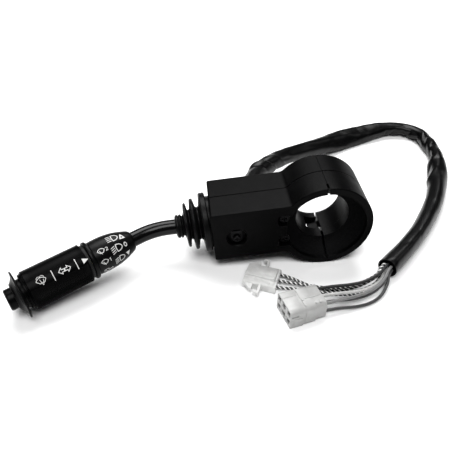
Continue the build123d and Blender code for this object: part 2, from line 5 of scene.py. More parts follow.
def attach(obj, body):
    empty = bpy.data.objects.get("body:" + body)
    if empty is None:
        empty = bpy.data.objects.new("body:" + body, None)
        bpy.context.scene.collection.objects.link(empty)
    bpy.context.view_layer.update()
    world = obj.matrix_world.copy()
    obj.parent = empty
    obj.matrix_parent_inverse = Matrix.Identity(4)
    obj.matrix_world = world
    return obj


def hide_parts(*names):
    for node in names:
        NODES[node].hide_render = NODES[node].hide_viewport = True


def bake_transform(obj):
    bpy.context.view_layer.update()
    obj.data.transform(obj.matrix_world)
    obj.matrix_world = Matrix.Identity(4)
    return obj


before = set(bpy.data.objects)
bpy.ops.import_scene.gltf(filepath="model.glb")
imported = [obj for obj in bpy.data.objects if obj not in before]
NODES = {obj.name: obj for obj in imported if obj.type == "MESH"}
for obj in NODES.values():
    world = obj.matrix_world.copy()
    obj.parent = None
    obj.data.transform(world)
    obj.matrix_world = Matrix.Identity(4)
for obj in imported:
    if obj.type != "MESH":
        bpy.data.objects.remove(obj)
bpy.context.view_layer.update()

MM = 0.001
TILT = math.radians(5.275)
BENCH = -30.0

# ------------------------------------------------------------------ frames (millimetres in, metres out)
TIP = Matrix.Rotation(-TILT, 4, "Y")          # housing frame -> row frame
B = Vector((-110.7, -2.3, 2.4))
C30, S30 = math.cos(math.radians(30)), math.sin(math.radians(30))
GRIP = TIP @ Matrix(((S30, 0, -C30, B.x), (-C30, 0, -S30, B.y), (0, 1, 0, B.z), (0, 0, 0, 1)))


def grip_pt(r, phi, s):
    """point on the grip: radius, degrees from the side facing the driver towards the top, distance from the bend"""
    a = math.radians(phi)
    return (GRIP @ Vector((r * math.cos(a), r * math.sin(a), s))) * MM


# ------------------------------------------------------------------ camera
cam_data = bpy.data.cameras.new("camera")
cam = bpy.data.objects.new("camera", cam_data)
bpy.context.collection.objects.link(cam)
cam_data.sensor_width = 36.0
cam_data.lens = 36.0 * 540.0 / 452.0
cam_data.clip_start, cam_data.clip_end = 0.01, 50
right = Vector((0.9962140, -0.0869322, 0.0)).normalized()
fwd = Vector((0.0674615, 0.7730868, -0.6307038)).normalized()
up = right.cross(fwd).normalized()
right = fwd.cross(up).normalized()
pos = Vector((-86.7584656, -278.17781, 216.797923)) * MM
cam.matrix_world = Matrix(((right.x, up.x, -fwd.x, pos.x), (right.y, up.y, -fwd.y, pos.y), (right.z, up.z, -fwd.z, pos.z), (0, 0, 0, 1)))
bpy.context.scene.camera = cam

# ------------------------------------------------------------------ world and lights
scene = bpy.context.scene
scene.view_settings.view_transform = "Standard"
scene.view_settings.look = "None"
scene.view_settings.exposure = 0.0
world = bpy.data.worlds.new("studio")
scene.world = world
world.use_nodes = True
bg = world.node_tree.nodes["Background"]
bg.inputs[0].default_value = (1, 1, 1, 1)
bg.inputs[1].default_value = 0.05


def area(name, loc, target, size, power, size_y=None):
    ld = bpy.data.lights.new(name, "AREA")
    ld.shape = "RECTANGLE"
    ld.size, ld.size_y = size, size_y or size
    ld.energy = power
    o = bpy.data.objects.new(name, ld)
    bpy.context.collection.objects.link(o)
    o.location = loc
    o.rotation_euler = (Vector(target) - Vector(loc)).to_track_quat("-Z", "Y").to_euler()
    return o


area("back_softbox", (-0.05, 0.56, 0.90), (0, 0.02, -0.02), 1.0, 18.5, 0.65)
area("front_top", (-0.1, -0.5, 1.05), (0.0, 0, -0.02), 0.75, 12.5, 0.55)
area("left_fill", (-0.9, 0.0, 0.5), (-0.05, 0, 0), 0.45, 0.8)
area("right_fill", (0.8, 0.1, 0.55), (0.05, 0, 0), 0.4, 0.6)


# ------------------------------------------------------------------ node helpers
class Mat:
    def __init__(self, name):
        self.m = bpy.data.materials.new(name)
        self.m.use_nodes = True
        self.t = self.m.node_tree
        self.t.nodes.clear()
        self.out = self.t.nodes.new("ShaderNodeOutputMaterial")
        self.b = self.t.nodes.new("ShaderNodeBsdfPrincipled")
        self.link(self.b.outputs[0], self.out.inputs["Surface"])
        self.coord = self.t.nodes.new("ShaderNodeTexCoord")

    def node(self, kind, **kw):
        n = self.t.nodes.new(kind)
        for k, v in kw.items():
            if k.startswith("in_"):
                n.inputs[k[3:].replace("_", " ")].default_value = v
            else:
                setattr(n, k, v)
        return n

    def link(self, a, b):
        self.t.links.new(a, b)

    def set(self, name, v):
        self.b.inputs[name].default_value = v

    def noise(self, scale, detail=2.0, rough=0.5, vector=None, dist=0.0):
        n = self.node("ShaderNodeTexNoise")
        n.inputs["Scale"].default_value = scale
        n.inputs["Detail"].default_value = detail
        n.inputs["Roughness"].default_value = rough
        n.inputs["Distortion"].default_value = dist
        self.link(vector or self.coord.outputs["Object"], n.inputs["Vector"])
        return n.outputs["Fac"]

    def voronoi(self, scale, vector=None, feature="F1", rand=1.0):
        n = self.node("ShaderNodeTexVoronoi", feature=feature)
        n.inputs["Scale"].default_value = scale
        n.inputs["Randomness"].default_value = rand
        self.link(vector or self.coord.outputs["Object"], n.inputs["Vector"])
        return n.outputs["Distance"]

    def ramp(self, fac, stops):
        n = self.node("ShaderNodeValToRGB")
        cr = n.color_ramp
        while len(cr.elements) > 1:
            cr.elements.remove(cr.elements[-1])
        cr.elements[0].position = stops[0][0]
        cr.elements[0].color = self._c(stops[0][1])
        for p, c in stops[1:]:
            e = cr.elements.new(p)
            e.color = self._c(c)
        self.link(fac, n.inputs[0])
        return n.outputs[0]

    @staticmethod
    def _c(c):
        if isinstance(c, (int, float)):
            return (c, c, c, 1)
        return (c[0], c[1], c[2], 1)

    def math(self, op, a, b=None, clamp=False):
        n = self.node("ShaderNodeMath", operation=op, use_clamp=clamp)
        for i, v in enumerate((a, b)):
            if v is None:
                continue
            if isinstance(v, (int, float)):
                n.inputs[i].default_value = v
            else:
                self.link(v, n.inputs[i])
        return n.outputs[0]

    def mix(self, fac, a, b):
        n = self.node("ShaderNodeMix", data_type="RGBA")
        for sock, v in ((n.inputs[0], fac), (n.inputs[6], a), (n.inputs[7], b)):
            if isinstance(v, (int, float)) and sock == n.inputs[0]:
                sock.default_value = v
            elif isinstance(v, (int, float, tuple)):
                sock.default_value = self._c(v)
            else:
                self.link(v, sock)
        return n.outputs[2]

    def bump(self, height, strength, distance, normal=None):
        n = self.node("ShaderNodeBump")
        n.inputs["Strength"].default_value = strength
        n.inputs["Distance"].default_value = distance
        self.link(height, n.inputs["Height"])
        if normal is not None:
            self.link(normal, n.inputs["Normal"])
        return n.outputs[0]

    def edges(self, radius):
        """soft corner normal, and a mask that is bright along sharp edges"""
        bv = self.node("ShaderNodeBevel", samples=6)
        bv.inputs["Radius"].default_value = radius
        geo = self.node("ShaderNodeNewGeometry")
        dot = self.node("ShaderNodeVectorMath", operation="DOT_PRODUCT")
        self.link(bv.outputs[0], dot.inputs[0])
        self.link(geo.outputs["Normal"], dot.inputs[1])
        return bv.outputs[0], self.math("SUBTRACT", 1.0, dot.outputs["Value"], clamp=True)

    def colour(self, v):
        if isinstance(v, (int, float, tuple)):
            self.set("Base Color", self._c(v))
        else:
            self.link(v, self.b.inputs["Base Color"])

    def rough(self, v):
        if isinstance(v, (int, float)):
            self.set("Roughness", v)
        else:
            self.link(v, self.b.inputs["Roughness"])

    def normal(self, v):
        self.link(v, self.b.inputs["Normal"])


def moulded(name, base, var, rough, rough_var, grain, grain_scale, wear=0.0, edge_r=0.00025, spec=0.5, coat=0.0):
    """moulded plastic: spark-eroded grain, faint colour drift, scuffed edges"""
    m = Mat(name)
    soft, edge = m.edges(edge_r)
    drift = m.noise(45, 4, 0.6)
    speck = m.noise(2600, 2, 0.6)
    c = m.mix(m.math("MULTIPLY", drift, 0.9), base, tuple(min(1, v * var) for v in (base if isinstance(base, tuple) else (base,) * 3)))
    dark = tuple(v * 0.55 for v in (base if isinstance(base, tuple) else (base,) * 3))
    c = m.mix(m.ramp(speck, [(0.35, 0.5), (0.6, 0.0)]), c, dark)
    if wear:
        scuff = m.math("MULTIPLY", edge, m.ramp(m.noise(240, 4, 0.7), [(0.42, 0.0), (0.68, 1.0)]))
        lite = tuple(min(1, v * 3.2 + 0.015) for v in (base if isinstance(base, tuple) else (base,) * 3))
        c = m.mix(m.math("MULTIPLY", scuff, wear, clamp=True), c, lite)
    m.colour(c)
    r = m.ramp(m.noise(120, 5, 0.65), [(0.3, rough - rough_var), (0.7, rough + rough_var)])
    m.rough(r)
    g = m.voronoi(grain_scale, feature="SMOOTH_F1")
    h = m.math("ADD", m.math("MULTIPLY", g, 0.7), m.math("MULTIPLY", m.noise(grain_scale * 1.7, 2, 0.5), 0.5))
    m.normal(m.bump(h, grain, 0.00012, soft))
    m.set("Specular IOR Level", spec)
    if coat:
        m.set("Coat Weight", coat)
        m.set("Coat Roughness", 0.2)
    return m.m


def steel(name, base, rough, scale=900.0):
    m = Mat(name)
    soft, edge = m.edges(0.0002)
    m.set("Metallic", 1.0)
    n = m.noise(scale, 4, 0.7)
    blot = m.noise(160, 3, 0.6)
    m.colour(m.mix(m.ramp(blot, [(0.35, 0.0), (0.7, 1.0)]), base, tuple(v * 0.72 for v in base)))
    m.rough(m.ramp(n, [(0.3, max(0.05, rough - 0.1)), (0.7, rough + 0.12)]))
    m.normal(m.bump(n, 0.25, 0.00003, soft))
    return m.m


def rubber(name, base, rough, spec):
    m = Mat(name)
    soft, edge = m.edges(0.0003)
    bloom = m.noise(90, 5, 0.7)
    c = m.mix(m.ramp(bloom, [(0.45, 0.0), (0.75, 0.55)]), base, tuple(v * 1.7 + 0.002 for v in base))
    m.colour(c)
    m.rough(m.ramp(m.noise(300, 4, 0.6), [(0.3, rough - 0.08), (0.7, rough + 0.1)]))
    m.normal(m.bump(m.noise(2400, 3, 0.6), 0.22, 0.00006, soft))
    m.set("Specular IOR Level", spec)
    return m.m


# ------------------------------------------------------------------ materials
M = {}
M["grip"] = moulded("grip_plastic", (0.0014, 0.0014, 0.0015), 1.35, 0.34, 0.05, 0.09, 3000, wear=0.25, spec=0.08)
M["sleeve"] = moulded("sleeve_plastic", (0.0006, 0.0006, 0.0007), 1.35, 0.36, 0.05, 0.14, 3600, wear=0.2, spec=0.026)
# the smooth legend band, also used on the sleeve's end ring: its colour is a shade lighter than the ribbed sleeve's, a
# painted sheen on top of its smoother finish
M["sleeve_smooth"] = moulded("sleeve_band", (0.0008, 0.0008, 0.0009), 1.2, 0.3, 0.04, 0.05, 3600, wear=0.1, spec=0.026)
M["button"] = moulded("button_plastic", (0.0016, 0.0016, 0.0017), 1.3, 0.32, 0.05, 0.08, 3000, wear=0.3, spec=0.04)
M["ink"] = moulded("legend_ink", (0.62, 0.62, 0.61), 1.05, 0.6, 0.05, 0.2, 3000)
M["zinc"] = steel("zinc_plate", (0.62, 0.62, 0.63), 0.26)
# near-black metal for the case screws, the tab screw and the lock tab
M["near_black_metal"] = steel("near_black_metal", (0.012, 0.012, 0.0125), 0.42)
M["pin"] = steel("pin_steel", (0.6, 0.6, 0.61), 0.3)
M["brass"] = steel("contact_brass", (0.8, 0.62, 0.3), 0.28)
M["tin"] = steel("contact_tin", (0.10, 0.10, 0.102), 0.36)
M["nylon_inner"] = moulded("inner_nylon", (0.7, 0.68, 0.6), 0.94, 0.45, 0.05, 0.1, 2200)
M["rotor"] = moulded("rotor_nylon", (0.01, 0.01, 0.01), 1.2, 0.5, 0.05, 0.1, 2200, spec=0.1)
M["acetal"] = moulded("acetal", (0.03, 0.03, 0.032), 1.3, 0.35, 0.05, 0.08, 2200)
M["board"] = moulded("board_laminate", (0.3, 0.17, 0.07), 0.8, 0.5, 0.05, 0.15, 1400)
M["gaiter"] = rubber("gaiter_rubber", (0.0018, 0.0018, 0.0019), 0.38, 0.075)
M["grommet"] = rubber("grommet_rubber", (0.0026, 0.0026, 0.0027), 0.5, 0.1)


def case_plastic():
    """the case's moulded black: satin outside, coarse and dull in the dish, smooth in the bore; in the bore the colour
    carries a painted reflection, a painted shade on its rear band and a painted highlight ring just ahead of that band
    """
    m = Mat("case_plastic")
    soft, edge = m.edges(0.0003)
    geo = m.node("ShaderNodeNewGeometry")
    sep = m.node("ShaderNodeSeparateXYZ")
    m.link(geo.outputs["Position"], sep.inputs[0])
    rad = m.math("SQRT", m.math("ADD", m.math("MULTIPLY", sep.outputs[0], sep.outputs[0]), m.math("MULTIPLY", sep.outputs[2], sep.outputs[2])))
    in_ring = m.math("LESS_THAN", rad, 0.02545)
    front = m.math("LESS_THAN", sep.outputs[1], -0.0069)
    dish = m.math("MULTIPLY", in_ring, front)
    bore = m.math("MULTIPLY", in_ring, m.math("SUBTRACT", 1.0, front))
    drift = m.noise(45, 4, 0.6)
    c = m.mix(m.math("MULTIPLY", drift, 0.9), (0.0004, 0.0004, 0.0005), (0.0008, 0.0008, 0.0009))
    speck = m.noise(2600, 2, 0.6)
    c = m.mix(m.ramp(speck, [(0.35, 0.5), (0.6, 0.0)]), c, (0.0002, 0.0002, 0.0002))
    pit = m.noise(1500, 3, 0.7)
    c = m.mix(m.math("MULTIPLY", dish, m.ramp(pit, [(0.35, 0.0), (0.7, 1.0)])), c, (0.0060, 0.0060, 0.0063))
    scuff = m.math("MULTIPLY", edge, m.ramp(m.noise(240, 4, 0.7), [(0.42, 0.0), (0.68, 1.0)]))
    c = m.mix(m.math("MULTIPLY", scuff, 0.5, clamp=True), c, (0.035, 0.035, 0.036))
    rub = m.math("MULTIPLY", m.ramp(m.noise(70, 5, 0.7), [(0.55, 0.0), (0.72, 1.0)]), 0.35)
    c = m.mix(rub, c, (0.0030, 0.0030, 0.0032))
    seam = m.math("LESS_THAN", m.math("ABSOLUTE", m.math("SUBTRACT", sep.outputs[1], 0.0004)), 0.00011)
    c = m.mix(m.math("MULTIPLY", seam, bore), c, (0.0002, 0.0002, 0.0002))
    # the bore's rear band is painted near-black: painted shade for the dark band deep in the bore; it is also made
    # rougher
    lip_painted_shade = m.math("MULTIPLY", bore, m.math("GREATER_THAN", sep.outputs[1], 0.0178))
    c = m.mix(lip_painted_shade, c, (0.0002, 0.0002, 0.0002))
    # a thin bright ring painted round the bore at 17.6 mm: a painted highlight standing for a chamfer's glint
    line = m.math("LESS_THAN", m.math("ABSOLUTE", m.math("SUBTRACT", sep.outputs[1], 0.0176)), 0.00018)
    c = m.mix(m.math("MULTIPLY", line, bore), c, (0.09, 0.09, 0.09))
    # the bore ahead of its rear band is painted lighter than the rest of the case: a painted reflection, on top of its
    # lower roughness
    c = m.mix(m.math("MULTIPLY", m.math("MULTIPLY", bore, m.math("SUBTRACT", 1.0, lip_painted_shade)), 0.5), c, (0.005, 0.005, 0.0053))
    m.colour(c)
    r = m.ramp(m.noise(120, 5, 0.65), [(0.3, 0.37), (0.7, 0.47)])
    r = m.math("ADD", r, m.math("MULTIPLY", dish, 0.22))
    r = m.math("SUBTRACT", r, m.math("MULTIPLY", bore, 0.08))
    r = m.math("ADD", r, m.math("MULTIPLY", lip_painted_shade, 0.5), clamp=True)
    m.rough(r)
    g = m.voronoi(2300, feature="SMOOTH_F1")
    h = m.math("ADD", m.math("MULTIPLY", g, 0.7), m.math("MULTIPLY", m.noise(3900, 2, 0.5), 0.5))
    h = m.math("MULTIPLY", h, m.math("ADD", 1.0, m.math("MULTIPLY", dish, 3.0)))
    m.normal(m.bump(h, 0.26, 0.00012, soft))
    m.set("Specular IOR Level", 0.037)
    return m.m


M["case"] = case_plastic()


def paint():
    m = Mat("lever_paint")
    soft, edge = m.edges(0.0002)
    m.colour(m.mix(m.ramp(m.noise(300, 3, 0.6), [(0.4, 0.0), (0.8, 1.0)]), (0.0012, 0.0012, 0.0013), (0.0022, 0.0022, 0.0024)))
    m.rough(m.ramp(m.noise(500, 4, 0.6), [(0.3, 0.16), (0.75, 0.28)]))
    m.normal(m.bump(m.noise(420, 3, 0.5), 0.12, 0.0001, soft))
    m.set("Coat Weight", 0.10)
    m.set("Coat Roughness", 0.1)
    m.set("Specular IOR Level", 0.12)
    return m.m


M["paint"] = paint()


def pvc():
    m = Mat("harness_pvc")
    drift = m.noise(60, 4, 0.6)
    m.colour(m.mix(m.ramp(drift, [(0.4, 0.0), (0.75, 1.0)]), (0.0004, 0.0004, 0.0005), (0.0007, 0.0007, 0.0008)))
    smear = m.noise(220, 5, 0.65)
    m.rough(m.ramp(smear, [(0.3, 0.29), (0.7, 0.35)]))
    h = m.math("ADD", m.math("MULTIPLY", m.noise(420, 3, 0.5), 0.7), m.math("MULTIPLY", m.noise(2200, 2, 0.6), 0.12))
    m.normal(m.bump(h, 0.03, 0.0002))
    m.set("Specular IOR Level", 0.17)
    return m.m


M["pvc"] = pvc()


def nylon(name, lite, dull):
    m = Mat(name)
    soft, edge = m.edges(0.00025)
    cloud = m.noise(170, 4, 0.6)
    m.colour(m.mix(m.ramp(cloud, [(0.35, 0.0), (0.7, 1.0)]), lite, dull))
    m.rough(m.ramp(m.noise(420, 4, 0.6), [(0.3, 0.3), (0.7, 0.42)]))
    m.normal(m.bump(m.noise(1500, 3, 0.5), 0.1, 0.00008, soft))
    m.set("Subsurface Weight", 0.45)
    m.set("Subsurface Radius", (0.0018, 0.0018, 0.0018))
    m.set("Subsurface Scale", 1.0)
    m.set("Transmission Weight", 0.12)
    m.set("IOR", 1.5)
    return m.m


M["nylon"] = nylon("connector_nylon", (0.42, 0.42, 0.415), (0.35, 0.35, 0.343))
# the same nylon as the large connector's, painted lighter: painted light that makes up for the shadow the housing
# casts on the small connector
M["nylon_small"] = nylon("connector_nylon_painted_lighter", (0.74, 0.74, 0.73), (0.60, 0.60, 0.59))


def wire_mat(name, base, tracer=None, turns=0.0):
    """PVC insulation; a tracer is a stripe moulded along the wire, which the UV map follows round it"""
    m = Mat(name)
    c = m.mix(m.ramp(m.noise(400, 3, 0.6), [(0.4, 0.0), (0.8, 1.0)]), base, tuple(min(1, v * 1.35 + 0.004) for v in base))
    if tracer:
        sep = m.node("ShaderNodeSeparateXYZ")
        m.link(m.coord.outputs["UV"], sep.inputs[0])
        u = m.math("FRACT", m.math("ADD", sep.outputs[0], m.math("MULTIPLY", sep.outputs[1], turns)))
        wob = m.math("MULTIPLY", m.math("SUBTRACT", m.noise(700, 2, 0.5), 0.5), 0.06)
        d = m.math("ABSOLUTE", m.math("SUBTRACT", m.math("ADD", u, wob), 0.5))
        mask = m.ramp(d, [(0.075, 1.0), (0.10, 0.0)])
        d2 = m.math("ABSOLUTE", m.math("SUBTRACT", d, 0.5))
        mask2 = m.ramp(d2, [(0.06, 1.0), (0.085, 0.0)])
        c = m.mix(m.math("MAXIMUM", mask, mask2), c, tracer)
    m.colour(c)
    m.rough(m.ramp(m.noise(600, 4, 0.6), [(0.3, 0.3), (0.7, 0.45)]))
    m.normal(m.bump(m.noise(1800, 3, 0.6), 0.15, 0.00005))
    return m.m


M["wire_black"] = wire_mat("wire_black", (0.005, 0.005, 0.0053))
M["wire_striped"] = wire_mat("wire_striped", (0.006, 0.006, 0.0064), (0.78, 0.78, 0.77), turns=165.0)
M["wire_light"] = wire_mat("wire_light", (0.36, 0.36, 0.355))
M["wire_mid"] = wire_mat("wire_mid", (0.075, 0.075, 0.076))
M["wire_mid2"] = wire_mat("wire_mid_b", (0.13, 0.13, 0.13))
M["wire_dark"] = wire_mat("wire_dark", (0.035, 0.035, 0.036))

CAD_MATERIALS = {
    "case": ["front_housing", "rear_housing", "front_clamp_cap", "rear_clamp_cap"],
    "zinc": ["clamp_screw", "clamp_nut", "cap_screw"],
    "near_black_metal": ["case_screws", "tab_screw", "pivot_lock_tab"],
    "pin": ["front_pivot_pin", "rear_pivot_pin", "lever_pin", "wiper_detent_ball", "detent_spring", "washer_spring", "horn_spring"],
    "nylon_inner": ["indicator_yoke", "lever_heel", "contact_carrier", "wiper_switch_base", "grip_core"],
    "rotor": ["wiper_rotor"],
    "acetal": ["detent_plate", "detent_plunger", "cancel_pawl", "pawl_guide"],
    "board": ["contact_board"],
    "brass": ["fixed_contacts", "board_terminals", "moving_contacts", "wiper_fixed_contacts", "wiper_moving_contacts", "horn_contact",
              ],
    "tin": ["large_connector_terminals", "small_connector_terminals"],
    "grommet": ["harness_grommet"],
    "gaiter": ["gaiter_base", "gaiter_folds", "gaiter_collar"],
    "paint": ["lever_tube"],
    "grip": ["legend_collar", "index_ring"],
    "sleeve": ["rotating_sleeve", "sleeve_end_cap"],
    "button": ["washer_flange", "horn_button", "horn_rod"],
    "nylon": ["large_connector"],
    "nylon_small": ["small_connector"],
}
for key, names in CAD_MATERIALS.items():
    for n in names:
        o = NODES[n]
        if not o.data.materials:
            o.data.materials.append(M[key])
        for i in range(len(o.material_slots)):
            o.material_slots[i].material = M[key]


# ------------------------------------------------------------------ mesh helpers
def new_object(name, bm, material, smooth_angle=35.0):
    me = bpy.data.meshes.new(name)
    bmesh.ops.recalc_face_normals(bm, faces=bm.faces)
    bm.to_mesh(me)
    bm.free()
    for mt in (material if isinstance(material, (list, tuple)) else [material]):
        me.materials.append(mt)
    for p in me.polygons:
        p.use_smooth = True
    if smooth_angle is not None:
        me.set_sharp_from_angle(angle=math.radians(smooth_angle))
    o = bpy.data.objects.new(name, me)
    bpy.context.collection.objects.link(o)
    return o


def lathe(name, profile, frame_m, material, segs=128, radius_fn=None, smooth_angle=35.0):
    """closed profile of (radius, height) in mm turned about the frame's Z"""
    bm = bmesh.new()
    rings = []
    for (r, h) in profile:
        ring = []
        for k in range(segs):
            a = 2 * math.pi * k / segs
            rr = radius_fn(r, h, a) if radius_fn else r
            ring.append(bm.verts.new((frame_m @ Vector((rr * math.cos(a), rr * math.sin(a), h))) * MM))
        rings.append(ring)
    n = len(rings)
    for i in range(n):
        a, b = rings[i], rings[(i + 1) % n]
        for k in range(segs):
            j = (k + 1) % segs
            bm.faces.new((a[k], a[j], b[j], b[k]))
    return new_object(name, bm, material, smooth_angle)


def rounded(profile, radius, steps=4, sharp=()):
    """rounds the corners of a closed profile"""
    out = []
    n = len(profile)
    for i, p in enumerate(profile):
        a, b, c = Vector(profile[i - 1]), Vector(p), Vector(profile[(i + 1) % n])
        u, v = a - b, c - b
        r = radius[i] if isinstance(radius, (list, tuple)) else radius
        if i in sharp or r <= 0 or u.length < 1e-6 or v.length < 1e-6:
            out.append((b.x, b.y))
            continue
        ang = u.angle(v)
        if ang > math.radians(172):
            out.append((b.x, b.y))
            continue
        t = min(r / math.tan(ang / 2), 0.45 * u.length, 0.45 * v.length)
        p0, p1 = b + u.normalized() * t, b + v.normalized() * t
        for k in range(steps + 1):
            f = k / steps
            q = p0 * (1 - f) ** 2 + b * 2 * f * (1 - f) + p1 * f * f
            out.append((q.x, q.y))
    return out

# ------------------------------------------------------------------ cords: the routes, in metres
ROUTES = {
    "harness_sleeve": [(-0.04146, 0.02770, -0.00453), (-0.04146, 0.04250, -0.00453), (-0.02900, 0.06600, -0.00850), (-0.00650, 0.09050, -0.01450), (0.02250, 0.11050, -0.02000), (0.05700, 0.13050, -0.02340), (0.09550, 0.14600, -0.02340), (0.12050, 0.13850, -0.02340), (0.12630, 0.11000, -0.02340), (0.11700, 0.07400, -0.02340), (0.10200, 0.04100, -0.02340), (0.08170, 0.00950, -0.02340), (0.05980, -0.01600, -0.02340), (0.03870, -0.03530, -0.02340)],
    "striped_wire_a": [(0.03647, -0.03286, -0.02340), (0.03315, -0.03590, -0.02340), (0.03180, -0.04020, -0.02450), (0.02200, -0.04480, -0.02690), (0.01000, -0.04720, -0.02860), (-0.00200, -0.04660, -0.02880), (-0.01250, -0.04260, -0.02860), (-0.02050, -0.03700, -0.02780), (-0.02724, -0.03344, -0.02660), (-0.03575, -0.02983, -0.02660)],
    "striped_wire_b": [(0.03713, -0.03358, -0.02107), (0.03380, -0.03662, -0.02107), (0.03100, -0.04130, -0.02220), (0.02100, -0.04570, -0.02400), (0.00950, -0.04760, -0.02590), (-0.00200, -0.04720, -0.02630), (-0.01300, -0.04440, -0.02620), (-0.02150, -0.04120, -0.02650), (-0.02954, -0.03887, -0.02660), (-0.03806, -0.03526, -0.02660)],
    "striped_wire_c": [(0.03713, -0.03358, -0.02573), (0.03380, -0.03662, -0.02573), (0.03120, -0.04330, -0.02720), (0.02100, -0.04800, -0.02880), (0.00950, -0.04960, -0.02880), (-0.00200, -0.04910, -0.02880), (-0.01350, -0.04690, -0.02880), (-0.02300, -0.04420, -0.02800), (-0.03185, -0.04430, -0.02660), (-0.04036, -0.04069, -0.02660)],
    "black_wire": [(0.03870, -0.03530, -0.02010), (0.03538, -0.03834, -0.02010), (0.03160, -0.04300, -0.01960), (0.02200, -0.04860, -0.02000), (0.01200, -0.05100, -0.02050), (-0.00849, -0.05203, -0.02000), (-0.01911, -0.05487, -0.02000)],
    "black_striped_wire": [(0.03870, -0.03530, -0.02670), (0.03538, -0.03834, -0.02670), (0.03240, -0.04420, -0.02860), (0.02250, -0.05040, -0.02880), (0.01150, -0.05200, -0.02840), (-0.00849, -0.05203, -0.02620), (-0.01911, -0.05487, -0.02620)],
    "light_grey_wire": [(0.03870, -0.03530, -0.02340), (0.03538, -0.03834, -0.02340), (0.03220, -0.04490, -0.02360), (0.02280, -0.05180, -0.02360), (0.01220, -0.05560, -0.02220), (-0.00685, -0.05816, -0.02000), (-0.01747, -0.06101, -0.02000)],
    "grey_wire_a": [(0.04027, -0.03702, -0.02573), (0.03695, -0.04006, -0.02573), (0.03360, -0.04590, -0.02620), (0.02400, -0.05300, -0.02740), (0.01240, -0.05640, -0.02780), (-0.00685, -0.05816, -0.02620), (-0.01747, -0.06101, -0.02620)],
    "grey_wire_b": [(0.04027, -0.03702, -0.02107), (0.03695, -0.04006, -0.02107), (0.03390, -0.04570, -0.02140), (0.02500, -0.05440, -0.02120), (0.01400, -0.06020, -0.02040), (-0.00520, -0.06429, -0.02000), (-0.01583, -0.06714, -0.02000)],
    "dark_grey_wire": [(0.04093, -0.03774, -0.02340), (0.03761, -0.04077, -0.02340), (0.03600, -0.04680, -0.02560), (0.02820, -0.05660, -0.02840), (0.01560, -0.06180, -0.02880), (-0.00520, -0.06429, -0.02620), (-0.01583, -0.06714, -0.02620)],
}


def spline_points(name, pts, resolution=14):
    """points along the smooth line that the route's points control"""
    cd = bpy.data.curves.new(name + "_line", "CURVE")
    cd.dimensions = "3D"
    sp = cd.splines.new("NURBS")
    sp.points.add(len(pts) - 1)
    for p, q in zip(sp.points, pts):
        p.co = (q[0], q[1], q[2], 1)
    sp.order_u = 3
    sp.use_endpoint_u = True
    cd.resolution_u = resolution
    ob = bpy.data.objects.new(name + "_line", cd)
    bpy.context.collection.objects.link(ob)
    bpy.context.view_layer.update()
    me = bpy.data.meshes.new_from_object(ob)
    out = [v.co.copy() for v in me.vertices]
    bpy.data.objects.remove(ob)
    bpy.data.curves.remove(cd)
    bpy.data.meshes.remove(me)
    clean = [out[0]]
    for p in out[1:]:
        if (p - clean[-1]).length > 1e-6:
            clean.append(p)
    return clean


def resample(pts, step):
    """the same line with even spacing"""
    total = sum((b - a).length for a, b in zip(pts, pts[1:]))
    n = max(2, round(total / step))
    out, i, acc = [pts[0].copy()], 0, 0.0
    for k in range(1, n):
        want = total * k / n
        while acc + (pts[i + 1] - pts[i]).length < want:
            acc += (pts[i + 1] - pts[i]).length
            i += 1
        f = (want - acc) / (pts[i + 1] - pts[i]).length
        out.append(pts[i].lerp(pts[i + 1], f))
    out.append(pts[-1].copy())
    return out, total


def frames(pts):
    """tangent, side and upward directions along a line, turning as little as possible"""
    tans = []
    for i in range(len(pts)):
        a, b = pts[max(0, i - 1)], pts[min(len(pts) - 1, i + 1)]
        tans.append((b - a).normalized())
    ref = Vector((0, 0, 1))
    if abs(tans[0].dot(ref)) > 0.9:
        ref = Vector((1, 0, 0))
    up_v = (ref - tans[0] * ref.dot(tans[0])).normalized()
    out = []
    for i, t in enumerate(tans):
        if i:
            q = tans[i - 1].rotation_difference(t)
            up_v = (q @ up_v)
            up_v = (up_v - t * up_v.dot(t)).normalized()
        out.append((t, t.cross(up_v).normalized(), up_v.copy()))
    return out


def tube(name, pts, radius_at, material, segs=20, lift=None, wall=None, level=False):
    """mesh tube along pts; radius_at(i, dist, angle) gives the section; UV is (round, metres along)"""
    fr = frames(pts)
    bm = bmesh.new()
    uv = bm.loops.layers.uv.new("UVMap")
    rings, dist = [], 0.0
    dists = []
    for i, p in enumerate(pts):
        if i:
            dist += (p - pts[i - 1]).length
        dists.append(dist)
        t, side, upv = fr[i]
        if level:
            upv = Vector((0, 0, 1)) - t * t.z
            upv.normalize()
            side = t.cross(upv).normalized()
        ring = []
        for k in range(segs):
            a = 2 * math.pi * k / segs
            r = radius_at(i, dist, a)
            if isinstance(r, tuple):
                v = p + side * r[0] + upv * r[1]
            else:
                v = p + side * (math.cos(a) * r) + upv * (math.sin(a) * r)
            ring.append(bm.verts.new(v))
        rings.append(ring)
    for i in range(len(rings) - 1):
        for k in range(segs):
            j = (k + 1) % segs
            f = bm.faces.new((rings[i][k], rings[i][j], rings[i + 1][j], rings[i + 1][k]))
            ks = (k, k + 1, k + 1, k)
            ds = (dists[i], dists[i], dists[i + 1], dists[i + 1])
            for loop, kk, dd in zip(f.loops, ks, ds):
                loop[uv].uv = (kk / segs, dd)
    if wall:
        for ring, d, sign in ((rings[0], fr[0][0], 1), (rings[-1], fr[-1][0], -1)):
            c = sum((v.co for v in ring), Vector()) / len(ring)
            last = ring
            for (shrink, depth) in wall:
                nxt = [bm.verts.new(v.co + (c - v.co) * shrink + d * sign * depth) for v in ring]
                for k in range(segs):
                    j = (k + 1) % segs
                    bm.faces.new((last[k], last[j], nxt[j], nxt[k]))
                last = nxt
            bm.faces.new(last)
    else:
        bm.faces.new(rings[0])
        bm.faces.new(rings[-1])
    o = new_object(name, bm, material, 50.0)
    return o


